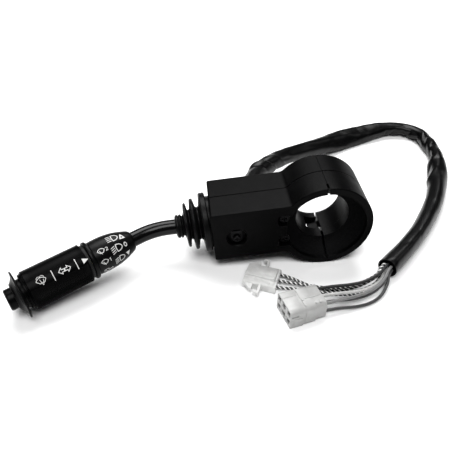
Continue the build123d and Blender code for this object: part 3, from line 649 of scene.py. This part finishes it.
# the loom's sleeve: a soft flattened PVC tube that twists, creases and crumples
H_PTS, H_LEN = resample(spline_points("harness_sleeve", ROUTES["harness_sleeve"]), 0.0006)
H_N = len(H_PTS)
FLAT_FROM = Vector((-0.08676, -0.27818, 0.21680))      # the flattened side faces this point


def smooth_step(a, b, x):
    t = max(0.0, min(1.0, (x - a) / (b - a)))
    return t * t * (3 - 2 * t)


# half width of the sleeve and sideways shift of its middle (mm) at distances from the grommet (mm)
H_SHAPE = [(0, 6.5, 0), (12, 6.4, 0), (24, 6.5, 0), (35, 7.2, -0.3), (48, 7.0, 0), (60, 6.8, -0.2), (72, 6.3, 0), (83, 6.1, 0.2), (96, 6.3, 0),
           (107, 6.9, 0), (120, 7.5, 0), (132, 8.4, 0.05), (144, 8.8, 0.05), (156, 8.8, 0.3), (167, 8.2, 0.6), (179, 7.1, 0.6), (192, 5.9, 0.5),
           (204, 5.3, 0.3), (216, 6.0, 0.9), (227, 5.6, 0.4), (239, 5.9, 0.9), (252, 5.6, 0.6), (263, 5.7, -0.4), (275, 7.5, 0.7), (287, 7.8, 0.7),
           (300, 7.2, 0.4), (312, 6.6, 0), (324, 6.5, -0.2), (336, 6.5, 0), (348, 6.3, 0.2), (359, 6.0, 0.1), (371, 5.9, 0.2), (384, 6.0, 0.2),
           (395, 6.2, 0.1), (408, 6.4, 0.1), (420, 6.5, 0)]

# creases and ridges: (distance, degrees round) to (distance, degrees), height and half breadth in mm
H_FOLDS = [
    (22, 200, 36, 60, -1.1, 3.0), (30, 185, 48, 35, 1.0, 2.6), (39, 180, 55, 20, -1.6, 2.8), (48, 160, 64, 30, 0.9, 2.8), (58, 80, 80, 40, -1.1, 3.4),
    (64, 150, 104, 120, 1.5, 3.8), (100, 122, 150, 95, 1.6, 4.2), (146, 96, 178, 52, 1.1, 3.8), (74, 100, 140, 58, -1.2, 4.6), (90, 172, 150, 150, -0.5, 4.6),
    (156, 140, 190, 108, -0.7, 4.0), (160, 40, 186, 10, -0.8, 3.4),
    (184, -20, 188, 58, -1.0, 2.2), (193, -25, 197, 72, -1.3, 2.3), (202, -20, 206, 60, -1.2, 2.2), (211, -20, 216, 84, -1.5, 2.5),
    (220, -25, 227, 66, -1.4, 2.4), (206, 130, 226, 84, -0.8, 2.8),
    (224, 160, 240, 40, 1.0, 2.6), (231, 172, 250, 20, -1.7, 3.0), (240, 160, 258, 36, 0.9, 2.4), (249, 120, 265, -5, -1.7, 3.0), (254, 150, 270, 90, 0.8, 2.6),
    (264, 128, 288, 88, 1.1, 2.7), (288, 88, 304, 0, 1.3, 2.7), (278, 56, 297, -8, -1.4, 3.2),
    (294, 108, 332, 96, 0.8, 3.6), (306, 58, 345, 70, -0.8, 4.2), (330, 118, 412, 104, 0.7, 4.4), (350, 54, 412, 58, -0.6, 4.4),
    (380, 150, 392, 60, -0.35, 2.6), (364, 30, 378, 120, -0.4, 2.8),
]


def h_shape(mm):
    for (a, w0, o0), (b_, w1, o1) in zip(H_SHAPE, H_SHAPE[1:]):
        if mm <= b_:
            f = (mm - a) / (b_ - a)
            f = f * f * (3 - 2 * f)
            return w0 + (w1 - w0) * f, o0 + (o1 - o0) * f
    return H_SHAPE[-1][1], H_SHAPE[-1][2]


def h_folds(mm, deg):
    total = 0.0
    y = deg * 0.113           # mm round the sleeve
    for (s0, a0, s1, a1, hgt, brd) in H_FOLDS:
        if mm < min(s0, s1) - 3 * brd or mm > max(s0, s1) + 3 * brd:
            continue
        for turn in (0.0, 360.0, -360.0):
            ax, ay, bx, by = s0, (a0 + turn) * 0.113, s1, (a1 + turn) * 0.113
            dx, dy = bx - ax, by - ay
            f = max(0.0, min(1.0, ((mm - ax) * dx + (y - ay) * dy) / (dx * dx + dy * dy)))
            bow = 1.1 * math.sin(math.pi * f) * (1 if (s0 % 2) else -1)
            d = math.hypot(mm - ax - f * dx + bow, y - ay - f * dy)
            if d < 3 * brd:
                taper = 0.35 + 0.65 * math.sin(math.pi * min(1.0, max(0.0, f * 0.86 + 0.07)))
                total += hgt * taper * math.exp(-(d / brd) ** 1.35 * 1.2)
    return total


FLOOR_Z = (BENCH + 0.04) * MM
h_bm = bmesh.new()
h_uv = h_bm.loops.layers.uv.new("UVMap")
H_SEGS = 88
h_rings, h_d = [], []
acc = 0.0
for i, p in enumerate(H_PTS):
    if i:
        acc += (p - H_PTS[i - 1]).length
    mm = acc * 1000
    h_d.append(acc)
    t = (H_PTS[min(H_N - 1, i + 1)] - H_PTS[max(0, i - 1)]).normalized()
    lift = smooth_step(55, 95, mm) * (1 - smooth_step(165, 205, mm))      # on the long run its flat side leans up
    view = (p - FLAT_FROM - Vector((0, 0, 0.17 * lift))).normalized()
    wide = view.cross(t).normalized()
    deep = -(t.cross(wide)).normalized()
    w, off = h_shape(mm)
    h = max(4.3, min(6.7, math.sqrt(max(1.0, 93.8 - w * w))))
    body = smooth_step(2, 16, mm) * smooth_step(H_LEN * 1000, H_LEN * 1000 - 5, mm)
    h = 6.5 + (h - 6.5) * body
    ring = []
    for k in range(H_SEGS):
        a = 2 * math.pi * k / H_SEGS
        ca, sa = math.cos(a), math.sin(a)
        q = Vector((mm * 0.028, ca * 1.0, sa * 1.0))
        lob = noise.noise(q) * 0.45 + noise.noise(Vector((mm * 0.07 + 7, ca * 1.3, sa * 1.3))) * 0.12
        disp = (lob + h_folds(mm, math.degrees(a))) * body
        x, z = w * ca, h * sa
        n = Vector((ca / w, sa / h)).normalized()
        v = p + wide * ((x + n.x * disp + off) * MM) + deep * ((z + n.y * disp) * MM)
        if v.z < FLOOR_Z:                       # it lies flat where it rests on the bench
            v.z = FLOOR_Z + (v.z - FLOOR_Z) * 0.01
        v.z = max(v.z, BENCH * MM + 0.00001)
        ring.append(h_bm.verts.new(v))
    h_rings.append(ring)
for i in range(H_N - 1):
    for k in range(H_SEGS):
        j = (k + 1) % H_SEGS
        f = h_bm.faces.new((h_rings[i][k], h_rings[i][j], h_rings[i + 1][j], h_rings[i + 1][k]))
        for loop, kk, dd in zip(f.loops, (k, k + 1, k + 1, k), (h_d[i], h_d[i], h_d[i + 1], h_d[i + 1])):
            loop[h_uv].uv = (kk / H_SEGS, dd)
for ring, d in ((h_rings[0], (H_PTS[1] - H_PTS[0]).normalized()), (h_rings[-1], (H_PTS[-2] - H_PTS[-1]).normalized())):
    c = sum((v.co for v in ring), Vector()) / len(ring)
    last = ring
    for (shrink, depth) in ((0.10, 0.0), (0.13, 0.0004), (0.15, 0.012)):
        nxt = [h_bm.verts.new(v.co + (c - v.co) * shrink + d * depth) for v in ring]
        for k in range(H_SEGS):
            j = (k + 1) % H_SEGS
            h_bm.faces.new((last[k], last[j], nxt[j], nxt[k]))
        last = nxt
    h_bm.faces.new(last)
harness = new_object("harness_sleeve_skin", h_bm, M["pvc"], 60.0)
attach(harness, "housing")
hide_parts("harness_sleeve")

WIRE_LOOK = {
    "striped_wire_a": ("wire_striped", "wire_striped", "small_connector"), "striped_wire_b": ("wire_striped", "wire_striped", "small_connector"),
    "striped_wire_c": ("wire_striped", "wire_striped", "small_connector"), "black_wire": ("wire_black", "wire_black", "large_connector"),
    "black_striped_wire": ("wire_striped", "wire_striped", "large_connector"), "light_grey_wire": ("wire_light", "wire_light", "large_connector"),
    "grey_wire_a": ("wire_mid", "wire_mid", "large_connector"), "grey_wire_b": ("wire_mid2", "wire_mid", "large_connector"),
    "dark_grey_wire": ("wire_dark", "wire_dark", "large_connector"),
}
for wname, (mkey, slot_name, conn) in WIRE_LOOK.items():
    wp, wl = resample(spline_points(wname, ROUTES[wname]), 0.0007)
    w = tube(wname + "_insulation", wp, lambda i, d, a: 0.001, M[mkey], segs=16)
    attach(w, "housing")
    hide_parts(wname)

# ------------------------------------------------------------------ connectors, in detail
def prism_x(bm, section, x0, x1):
    """closed section of (y, z) in mm carried along x"""
    a = [bm.verts.new(Vector((x0, y, z))) for y, z in section]
    b_ = [bm.verts.new(Vector((x1, y, z))) for y, z in section]
    n = len(section)
    for k in range(n):
        j = (k + 1) % n
        bm.faces.new((a[k], a[j], b_[j], b_[k]))
    bm.faces.new(list(reversed(a)))
    bm.faces.new(b_)


def box_section(y0, y1, z0, z1, r_front=0.0, r_rear=0.0, steps=6):
    """rectangle with its two upper corners rounded"""
    out = [(y0, z0)]
    if r_front:
        out += [(y0 + r_front - r_front * math.cos(math.radians(a)), z1 - r_front + r_front * math.sin(math.radians(a))) for a in [90 * k / steps for k in range(steps + 1)]]
    else:
        out.append((y0, z1))
    if r_rear:
        out += [(y1 - r_rear + r_rear * math.sin(math.radians(a)), z1 - r_rear + r_rear * math.cos(math.radians(a))) for a in [90 * k / steps for k in range(steps + 1)]]
    else:
        out.append((y1, z1))
    out.append((y1, z0))
    return out


def raw_object(name, build):
    bm = bmesh.new()
    build(bm)
    bmesh.ops.recalc_face_normals(bm, faces=bm.faces)
    me = bpy.data.meshes.new(name)
    bm.to_mesh(me)
    bm.free()
    o = bpy.data.objects.new(name, me)
    bpy.context.collection.objects.link(o)
    return o


def cyl_along(bm, p0, p1, r, segs=24):
    p0, p1 = Vector(p0), Vector(p1)
    d = (p1 - p0).normalized()
    s = d.orthogonal().normalized()
    u = d.cross(s)
    rings = [[bm.verts.new(p + s * (r * math.cos(2 * math.pi * k / segs)) + u * (r * math.sin(2 * math.pi * k / segs))) for k in range(segs)] for p in (p0, p1)]
    for k in range(segs):
        j = (k + 1) % segs
        bm.faces.new((rings[0][k], rings[0][j], rings[1][j], rings[1][k]))
    bm.faces.new(list(reversed(rings[0])))
    bm.faces.new(rings[1])


def carve(name, adds, cuts, place, material, bevel=0.22):
    """joins and cuts simple solids (mm, in their own frame), rounds the corners and puts the result in place"""
    base = raw_object(name + "_a0", adds[0])
    helpers = []
    for i, (kind, build) in enumerate([("UNION", b) for b in adds[1:]] + [("DIFFERENCE", b) for b in cuts]):
        h = raw_object(name + "_h%d" % i, build)
        helpers.append(h)
        md = base.modifiers.new("b%d" % i, "BOOLEAN")
        md.operation = kind
        md.solver = "EXACT"
        md.object = h
    bv = base.modifiers.new("bevel", "BEVEL")
    bv.width = bevel
    bv.segments = 2
    bv.limit_method = "ANGLE"
    bv.angle_limit = math.radians(40)
    bv.use_clamp_overlap = True
    bv.harden_normals = False
    bpy.context.view_layer.update()
    dg = bpy.context.evaluated_depsgraph_get()
    me = bpy.data.meshes.new_from_object(base.evaluated_get(dg))
    for h in helpers + [base]:
        old = h.data
        bpy.data.objects.remove(h)
        bpy.data.meshes.remove(old)
    me.transform(place)
    me.materials.clear()
    me.materials.append(material)
    for p in me.polygons:
        p.use_smooth = True
    me.set_sharp_from_angle(angle=math.radians(32))
    o = bpy.data.objects.new(name, me)
    bpy.context.collection.objects.link(o)
    return o


SCALE = Matrix.Scale(MM, 4)
LARGE = SCALE @ (Matrix.Translation((-22.3, -62.3, BENCH)) @ Matrix.Rotation(math.radians(15.0), 4, "Z"))
SMALL = SCALE @ (Matrix.Translation((-42.2, -33.5, BENCH)) @ Matrix.Rotation(math.radians(-23.0), 4, "Z"))


def bx(x0, x1, y0, y1, z0, z1):
    return lambda bm: prism_x(bm, [(y0, z0), (y0, z1), (y1, z1), (y1, z0)], x0, x1)


L_HOLES = [(y, z) for y in (6.35, 0.0, -6.35) for z in (3.8, 10.0)]
large_adds = [
    lambda bm: prism_x(bm, box_section(-9.45, 9.45, 0.0, 13.1, 3.6, 2.5), -12.0, -3.6),
    lambda bm: prism_x(bm, box_section(-9.35, 9.3, 0.8, 13.0, 3.6, 2.4), -3.8, 4.6),
    lambda bm: prism_x(bm, box_section(-8.6, 9.0, 1.6, 12.9, 3.2, 2.2), 4.4, 11.9),
    bx(0.6, 10.2, -1.3, -0.85, 12.5, 13.22),
    bx(-12.0, -3.0, 3.0, 3.45, 12.6, 13.32),
    bx(-9.9, -4.2, -9.75, -9.2, 2.2, 6.6),
]
for (dx, dy) in ((-1.0, -1.5), (-1.2, -6.0), (5.8, -6.0), (8.5, -6.1)):
    large_adds.append(lambda bm, dx=dx, dy=dy: cyl_along(bm, (dx, dy, 12.6), (dx, dy, 13.42), 0.75, 20))
large_cuts = [bx(-2.2, -1.75, -9.9, 9.9, 12.72, 14.0), bx(-2.2, -1.75, -9.9, -9.05, 1.5, 14.0), bx(-11.2, -6.5, -9.9, -8.75, 8.2, 9.5),
              bx(4.6, 12.5, 6.6, 7.0, 12.6, 14.0)]
for (hy, hz) in L_HOLES:
    large_cuts.append(lambda bm, hy=hy, hz=hz: cyl_along(bm, (-13.0, hy, hz), (13.0, hy, hz), 1.85, 24))
    large_cuts.append(bx(-13.0, -9.2, hy - 1.95, hy + 1.95, hz - 1.95, hz + 1.9))
big = carve("large_connector_shell", large_adds, large_cuts, LARGE, M["nylon"], 0.2)
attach(big, "housing")
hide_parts("large_connector")


def poly_z(pts, z0, z1):
    """outline of (x, y) raised from z0 to z1"""
    def build(bm):
        a = [bm.verts.new(Vector((x, y, z0))) for x, y in pts]
        b_ = [bm.verts.new(Vector((x, y, z1))) for x, y in pts]
        n = len(pts)
        for k in range(n):
            j = (k + 1) % n
            bm.faces.new((a[k], a[j], b_[j], b_[k]))
        bm.faces.new(list(reversed(a)))
        bm.faces.new(b_)
    return build


def hook(sy):
    """a latch hook: a springy post with a curled tip"""
    outer = [(1.6, 8.4), (1.6, EAR_Y - 1.2), (1.3, EAR_Y - 0.4), (0.7, EAR_Y), (-0.2, EAR_Y), (-1.5, EAR_Y - 0.2), (-2.3, EAR_Y - 0.5), (-2.3, EAR_Y - 1.3),
             (-1.2, EAR_Y - 1.4), (-0.3, EAR_Y - 1.55), (0.05, EAR_Y - 2.0), (0.1, 8.4)]
    pts = [(x, y * sy) for x, y in outer]
    return poly_z(pts if sy < 0 else list(reversed(pts)), 2.0, 4.9)


def wedge(sy):
    pts = [(x, y * sy) for x, y in [(-9.6, 8.4), (-9.6, 9.2), (-4.9, EAR_Y - 2.9), (-3.9, EAR_Y - 3.1), (-3.9, 8.4)]]
    return poly_z(pts if sy < 0 else list(reversed(pts)), 2.0, 4.7)


EAR_Y = 15.7
small_adds = [
    lambda bm: prism_x(bm, box_section(-8.8, 8.8, 0.0, 5.4, 1.3, 1.5), -10.7, 10.7),
    lambda bm: prism_x(bm, [(-3.4, 2.0), (-3.0, 6.75), (4.2, 6.75), (8.2, 5.6), (8.5, 2.0)], -10.5, 10.4),
    lambda bm: prism_x(bm, [(-7.4, 2.0), (-7.0, 5.75), (-3.2, 5.75), (-3.2, 2.0)], -9.6, -3.4),
    lambda bm: prism_x(bm, [(-0.2, 5.0), (0.0, 6.98), (3.6, 6.98), (3.9, 5.0)], -9.0, 8.6),
    bx(-1.2, 10.7, -8.9, -7.7, 1.0, 4.4), hook(1), hook(-1), wedge(1), wedge(-1),
    bx(5.6, 10.7, -3.6, -3.1, 5.0, 6.2),
]
small_adds.append(lambda bm: cyl_along(bm, (7.7, -1.6, 6.4), (7.7, -1.6, 7.0), 0.5, 16))
small_adds.append(lambda bm: cyl_along(bm, (4.6, -6.6, 5.0), (4.6, -6.6, 5.75), 0.5, 16))
small_cuts = [bx(5.6, 7.0, -7.2, -6.0, 5.0, 7.0), bx(8.9, 9.3, -9.9, 9.9, 5.2, 8.0)]
for hy in (5.9, 0.0, -5.9):
    small_cuts.append(lambda bm, hy=hy: cyl_along(bm, (-12.0, hy, 3.3), (12.0, hy, 3.3), 1.5, 24))
    small_cuts.append(bx(-12.0, -8.6, hy - 2.2, hy + 2.2, 1.3, 4.7))
little = carve("small_connector_shell", small_adds, small_cuts, SMALL, M["nylon_small"], 0.16)
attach(little, "housing")
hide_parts("small_connector")

# ------------------------------------------------------------------ gaiter: one rubber bellows, split at its largest fold's crest
GA = TIP @ (Matrix.Translation((-76.3, -1.2, 2.4)) @ Matrix.Rotation(math.radians(4.0), 4, "Z") @ Matrix.Rotation(math.radians(-90), 4, "Y"))


def polyarc(pts, r, steps=5):
    """open profile with rounded corners"""
    out = [pts[0]]
    for i in range(1, len(pts) - 1):
        a, b_, c = Vector(pts[i - 1]), Vector(pts[i]), Vector(pts[i + 1])
        u, v = a - b_, c - b_
        ang = u.angle(v)
        t = min(r / math.tan(ang / 2), 0.48 * u.length, 0.48 * v.length)
        p0, p1 = b_ + u.normalized() * t, b_ + v.normalized() * t
        for k in range(steps + 1):
            f = k / steps
            q = p0 * (1 - f) ** 2 + b_ * 2 * f * (1 - f) + p1 * f * f
            out.append((q.x, q.y))
    out.append(pts[-1])
    return out


# outer skin from the base disc outwards: (radius, distance along the gaiter)
skin_a = polyarc([(11.2, -1.85), (18.9, -1.9), (19.45, -1.2), (19.45, 1.5), (18.8, 2.2), (11.6, 3.0), (10.5, 4.0), (10.9, 5.1), (14.9, 6.0), (16.3, 6.3), (16.8, 7.0), (16.8, 7.45)], 0.7)
back_a = [(15.6, 7.45), (14.9, 7.0), (10.0, 6.1), (9.4, 4.4), (10.2, 2.4), (11.2, 1.4)]
skin_b = polyarc([(16.8, 7.45), (16.8, 7.9), (16.2, 8.6), (14.6, 8.8), (10.4, 9.3), (9.6, 9.9), (9.9, 10.6), (12.9, 11.1), (14.2, 11.3), (14.6, 11.9), (14.6, 12.5), (13.9, 13.1), (12.4, 13.3),
                  (8.8, 13.7), (6.9, 14.3), (6.4, 14.9), (7.1, 15.3), (7.8, 15.8), (7.8, 16.5), (7.1, 16.9), (7.1, 17.3), (7.7, 17.7), (7.7, 18.6), (7.0, 19.3), (6.2, 19.65), (5.3, 19.65)], 0.45)
back_b = [(5.06, 19.4), (5.06, 15.6), (6.0, 14.0), (8.9, 12.7), (13.2, 12.2), (9.1, 11.2), (8.9, 9.0), (15.6, 7.45)]


def bellows(name, outline):
    o = lathe(name, outline, GA, M["gaiter"], segs=144, smooth_angle=60)
    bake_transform(o)
    return o


NECK = TIP @ (Matrix.Translation((-76.0, -1.2, 2.4)) @ Matrix.Rotation(math.radians(90), 4, "Y"))
neck = lathe("gaiter_neck", [(11.4, 0.0), (16.8, 0.0), (16.8, 3.3), (13.9, 3.33), (13.9, 5.7), (11.4, 5.7)], NECK, M["gaiter"], segs=96, smooth_angle=40)
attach(neck, "housing")
g_in = bellows("gaiter_inner_bellows", skin_a + back_a)
g_out = bellows("gaiter_outer_bellows", skin_b + back_b)
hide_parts("gaiter_base", "gaiter_folds")
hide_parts("gaiter_collar")

# ------------------------------------------------------------------ grip
def grip_part(name, profile, material, body, node, segs=160, round_r=0.25, fn=None, angle=35.0):
    o = lathe(name, rounded(profile, round_r), GRIP, material, segs=segs, radius_fn=fn, smooth_angle=angle)
    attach(o, body)
    if node:
        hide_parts(*node)
    return o


COLLAR = [(5.02, 15.7), (5.6, 15.7), (6.1, 16.05), (6.7, 16.8), (7.3, 18.0), (7.95, 19.7), (8.75, 22.0), (9.45, 24.2), (10.0, 26.3), (10.45, 28.6),
          (10.8, 31.2), (11.02, 34.0), (11.1, 37.0), (11.0, 40.4), (10.8, 43.2), (10.6, 43.5), (9.2, 43.5), (9.2, 30.0), (8.2, 26.2), (6.4, 21.2), (5.02, 20.2)]
grip_part("legend_collar_shell", COLLAR, M["grip"], "lever", ["legend_collar"], round_r=0.35, angle=50)
grip_part("index_bead", [(9.25, 43.6), (10.5, 43.6), (11.0, 43.75), (11.75, 43.8), (12.2, 44.2), (12.35, 45.0), (12.2, 45.8), (11.7, 46.25), (11.0, 46.3), (9.25, 46.3)],
          M["grip"], "lever", ["index_ring"], round_r=0.3, angle=60)


def rib_depth(phi):
    """0 on the smooth legend band, up to 1 on the fine ribs"""
    p = (phi + 180) % 360 - 180
    if 36.0 <= p <= 65.0:
        return 0.0
    if 65.0 < p < 160:
        return -1.0
    return 1.0


RIBS = 112


def sleeve_fn(r, h, a):
    if r < 11.9:
        return r
    phi = math.degrees(a)
    k = rib_depth(phi)
    inside = smooth_step(49.0, 49.6, h) * smooth_step(84.9, 84.3, h)
    if k > 0:
        ph = (a * RIBS / (2 * math.pi)) % 1.0
        w = 0.5 - 0.5 * math.cos(2 * math.pi * ph)
        return r - 0.30 * (w ** 1.5) * inside - 0.05
    if k < 0:
        return r - 0.14 * inside
    return r


sl_prof = [(10.0, 48.35), (12.0, 48.35), (12.3, 48.5), (12.45, 48.75), (12.45, 49.0), (12.45, 49.6)]
sl_prof += [(12.45, 49.6 + (84.3 - 49.6) * k / 12) for k in range(1, 13)]
sl_prof += [(12.45, 84.9), (12.45, 85.05), (12.3, 85.25), (12.0, 85.35), (10.0, 85.35)]
sleeve = lathe("rotating_sleeve_shell", sl_prof, GRIP, [M["sleeve"], M["sleeve_smooth"]], segs=RIBS * 8, radius_fn=sleeve_fn, smooth_angle=40)
for p in sleeve.data.polygons:
    c = GRIP.inverted() @ (p.center / MM)
    phi = math.degrees(math.atan2(c.y, c.x))
    if rib_depth(phi) == 0.0 or math.hypot(c.x, c.y) < 12.0 or c.z < 48.9 or c.z > 84.9:
        p.material_index = 1
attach(sleeve, "wiper_sleeve")
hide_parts("rotating_sleeve")
grip_part("sleeve_end_ring", [(9.45, 84.4), (9.95, 84.4), (9.95, 85.4), (11.7, 85.4), (11.7, 86.0), (11.2, 86.1), (11.2, 87.1), (11.0, 87.3), (9.45, 87.3)],
          M["sleeve_smooth"], "wiper_sleeve", ["sleeve_end_cap"], round_r=0.12)
FLANGE = [(8.2, 86.2), (9.2, 86.2), (9.2, 89.1), (10.6, 89.16), (12.6, 89.27), (14.4, 89.42), (14.9, 89.6), (15.1, 89.95), (15.05, 90.35), (14.8, 90.6),
          (14.2, 90.62), (12.9, 90.75), (11.6, 91.1), (10.4, 91.7), (9.4, 92.4), (8.8, 93.0), (8.4, 93.45), (8.1, 93.62), (6.85, 93.62), (6.85, 89.4), (8.2, 89.4)]
grip_part("washer_flange_shell", FLANGE, M["button"], "washer", ["washer_flange"], round_r=0.2, angle=50)
BUTTON = [(0.01, 88.6), (6.7, 88.6), (6.7, 97.1), (6.55, 97.5), (6.15, 97.85), (5.6, 98.0), (3.0, 98.1), (0.01, 98.13)]
grip_part("horn_button_cap", BUTTON, M["button"], "horn", ["horn_button"], round_r=0.15, angle=50)

# ------------------------------------------------------------------ printed legends
def ribbon(bm, pts, widths, place, h0, h1, closed=False):
    """a raised line of ink: pts in (right, up) mm, place(u, v, h) -> point on the surface"""
    dense, wd = [], []
    n = len(pts)
    segs = n if closed else n - 1
    for i in range(segs):
        a, b_ = Vector(pts[i]), Vector(pts[(i + 1) % n])
        wa = widths[i] if isinstance(widths, (list, tuple)) else widths
        wb = widths[(i + 1) % n] if isinstance(widths, (list, tuple)) else widths
        m = max(1, int((b_ - a).length / 0.5))
        for k in range(m):
            f = k / m
            dense.append(a.lerp(b_, f))
            wd.append(wa + (wb - wa) * f)
    if not closed:
        dense.append(Vector(pts[-1]))
        wd.append(widths[-1] if isinstance(widths, (list, tuple)) else widths)
    n = len(dense)
    cols = max(1, math.ceil(max(wd) / 0.7))
    rows = []
    for i in range(n):
        if closed:
            a, b_ = dense[i - 1], dense[(i + 1) % n]
        else:
            a, b_ = dense[max(0, i - 1)], dense[min(n - 1, i + 1)]
        d1 = (dense[i] - a)
        d2 = (b_ - dense[i])
        d1 = d1.normalized() if d1.length > 1e-9 else d2.normalized()
        d2 = d2.normalized() if d2.length > 1e-9 else d1
        t = (d1 + d2).normalized()
        nrm = Vector((-t.y, t.x))
        c = max(0.5, nrm.dot(Vector((-d1.y, d1.x))))
        o = nrm * (wd[i] / 2 / c)
        l, r = dense[i] + o, dense[i] - o
        row = []
        for k in range(cols + 1):
            q = l.lerp(r, k / cols)
            row.append(bm.verts.new(place(q.x, q.y, h1)))
        for k in range(cols, -1, -1):
            q = l.lerp(r, k / cols)
            row.append(bm.verts.new(place(q.x, q.y, h0)))
        rows.append(row)
    m = n if closed else n - 1
    nr = len(rows[0])
    for i in range(m):
        a, b_ = rows[i], rows[(i + 1) % n]
        for k in range(nr):
            j = (k + 1) % nr
            bm.faces.new((a[k], a[j], b_[j], b_[k]))
    if not closed:
        bm.faces.new(rows[0])
        bm.faces.new(rows[-1])


def arc(cx, cy, rx, ry, a0, a1, n=14):
    return [(cx + rx * math.cos(math.radians(a0 + (a1 - a0) * k / n)), cy + ry * math.sin(math.radians(a0 + (a1 - a0) * k / n))) for k in range(n + 1)]


def icon_lamp(slant, sc=1.0):
    d = [(0.0, -2.25), (-0.35, 0.0), (0.0, 2.25)] + arc(0.4, 0, 3.3, 2.25, 88, -88, 14)
    out = [(d, 0.6, True)]
    for k in range(4):
        v = -1.85 + 1.233 * k
        out.append(([(-0.95, v), (-3.7, v - slant)], 0.46, False))
    return [([(x * sc, y * sc) for x, y in p], w * sc, c) for p, w, c in out]


def icon_wiper(sc=1.0):
    screen = arc(0, -2.2, 3.2, 3.9, 138, 42, 10) + [(1.25, -1.25)] + arc(0, -2.2, 1.2, 1.1, 50, 130, 4)
    out = [(screen, 0.5, True), ([(-1.1, 0.55), (0.0, -1.9)], 0.45, False), ([(0.0, -1.0), (0.0, -2.2)], 0.42, False)]
    return [([(x * sc, y * sc) for x, y in p], w * sc, c) for p, w, c in out]


def icon_washer():
    screen = arc(0, -2.6, 4.3, 5.0, 140, 40, 12) + [(1.75, -1.35)] + arc(0, -2.6, 1.7, 1.4, 48, 132, 5)
    out = [(screen, 0.5, True), ([(-0.7, 1.2), (0.3, -2.9)], 0.42, False), ([(1.7, 0.7), (0.4, -2.9)], 0.4, False)]
    out.append((arc(-1.0, 1.7, 1.5, 1.7, 170, 30, 8), 0.38, False))
    out.append((arc(1.2, 1.7, 1.5, 1.7, 150, 10, 8), 0.38, False))
    return out


def icon_arrow(sign):
    pts = [(0.25, -0.85), (1.9, -0.85), (1.9, -2.15), (4.1, 0.0), (1.9, 2.15), (1.9, 0.85), (0.25, 0.85)]
    return [([(x * sign * 0.92, y * 0.92) for x, y in pts], 0.48, True)]


def glyph(ch, sc=1.0):
    g = {
        "0": [(arc(0, 0, 1.0, 1.55, 0, 345, 20), 0.68, True)],
        "1": [([(-0.75, 0.9), (0.15, 1.6), (0.15, -1.6)], 0.66, False)],
        "2": [(arc(0, 0.75, 0.95, 0.85, 165, -35, 10) + [(-0.95, -1.5), (1.1, -1.5)], 0.64, False)],
    }[ch]
    return [([(x * sc, y * sc) for x, y in p], w * sc, c) for p, w, c in g]


def collar_r(s):
    pts = [(h, r) for r, h in COLLAR[1:16]]
    for (a, ra), (b_, rb) in zip(pts, pts[1:]):
        if a <= s <= b_:
            return ra + (rb - ra) * (s - a) / (b_ - a)
    return 11.0


def print_icons(name, items, radius_at, body):
    bm = bmesh.new()
    count = 0
    for (s0, phi0, strokes) in items:
        def place(u, v, h, s0=s0, phi0=phi0):
            s = s0 - u
            r0 = radius_at(s0)
            return grip_pt(radius_at(s) + h, phi0 + math.degrees(v / r0), s)
        for (pts, w, closed) in strokes:
            ribbon(bm, pts, w * 0.86 if isinstance(w, float) else w, place, -0.12, 0.035 + 0.004 * (count % 5), closed)
            count += 1
    o = new_object(name, bm, M["ink"], 30)
    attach(o, body)
    return o


tri_up = [([(0, -1.5), (0, 1.7)], [3.3, 0.15], False)]
tri_down = [([(0, 1.6), (0, -1.6)], [3.0, 0.15], False)]
collar_items = [
    (28.85, 78, icon_lamp(0.0)), (22.85, 74, [([(-1.35, -1.4), (1.35, -1.4), (0.0, 1.5)], 0.85, True)]),
    (29.05, 38, icon_lamp(0.9)), (22.85, 37, glyph("0", 0.82)),
    (29.35, -3, icon_lamp(0.9, 0.92)), (23.05, -4, tri_down),
    (38.65, 51, icon_wiper(0.95)), (34.85, 51, glyph("2", 0.64)),
    (39.05, 14, icon_wiper(0.95)), (35.35, 14, glyph("1", 0.68)),
    (39.05, -25, icon_wiper(0.85)), (35.65, -25, glyph("0", 0.62)),
]
print_icons("collar_legend", collar_items, collar_r, "lever")
band = 12.45 * math.radians(31) / 2
sleeve_items = [
    (77.05, 48, [([(x * 0.9, y * 0.9) for x, y in p], w * 0.76, c) for p, w, c in icon_washer()]),
    (69.85, 47.5, [([(0, -band), (0, band)], 0.55, False)]),
    (62.65, 48, icon_arrow(1) + icon_arrow(-1)),
    (55.15, 47.5, [([(0, -band), (0, band)], 0.55, False)]),
    (51.3, 47.0, [([(0.0, 0.0), (3.5, 0.0)], [3.4, 0.12], False)]),
]
print_icons("sleeve_legend", sleeve_items, lambda s: 12.45, "wiper_sleeve")

# ------------------------------------------------------------------ springs: baked copies of the spring nodes
def shortening(node):
    src = NODES[node]
    o = bpy.data.objects.new(node + "_turns", src.data.copy())
    bpy.context.collection.objects.link(o)
    o.matrix_world = src.matrix_world.copy()
    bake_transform(o)
    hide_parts(node)
    return o


shortening("washer_spring")
shortening("horn_spring")
shortening("detent_spring")

# ------------------------------------------------------------------ floor
fbm = bmesh.new()
S = 8.0
vs = [fbm.verts.new((x, y, BENCH * MM)) for x, y in ((-S, -S), (S, -S), (S, S), (-S, S))]
fbm.faces.new(vs)
me = bpy.data.meshes.new("floor")
fbm.to_mesh(me)
fbm.free()
floor = bpy.data.objects.new("floor", me)
bpy.context.collection.objects.link(floor)
fm = Mat("floor_paper")
fm.colour(fm.mix(fm.noise(6, 3, 0.5), (0.93, 0.93, 0.93), (0.90, 0.90, 0.90)))
fm.rough(0.85)
fm.normal(fm.bump(fm.noise(900, 3, 0.6), 0.03, 0.0001))
me.materials.append(fm.m)
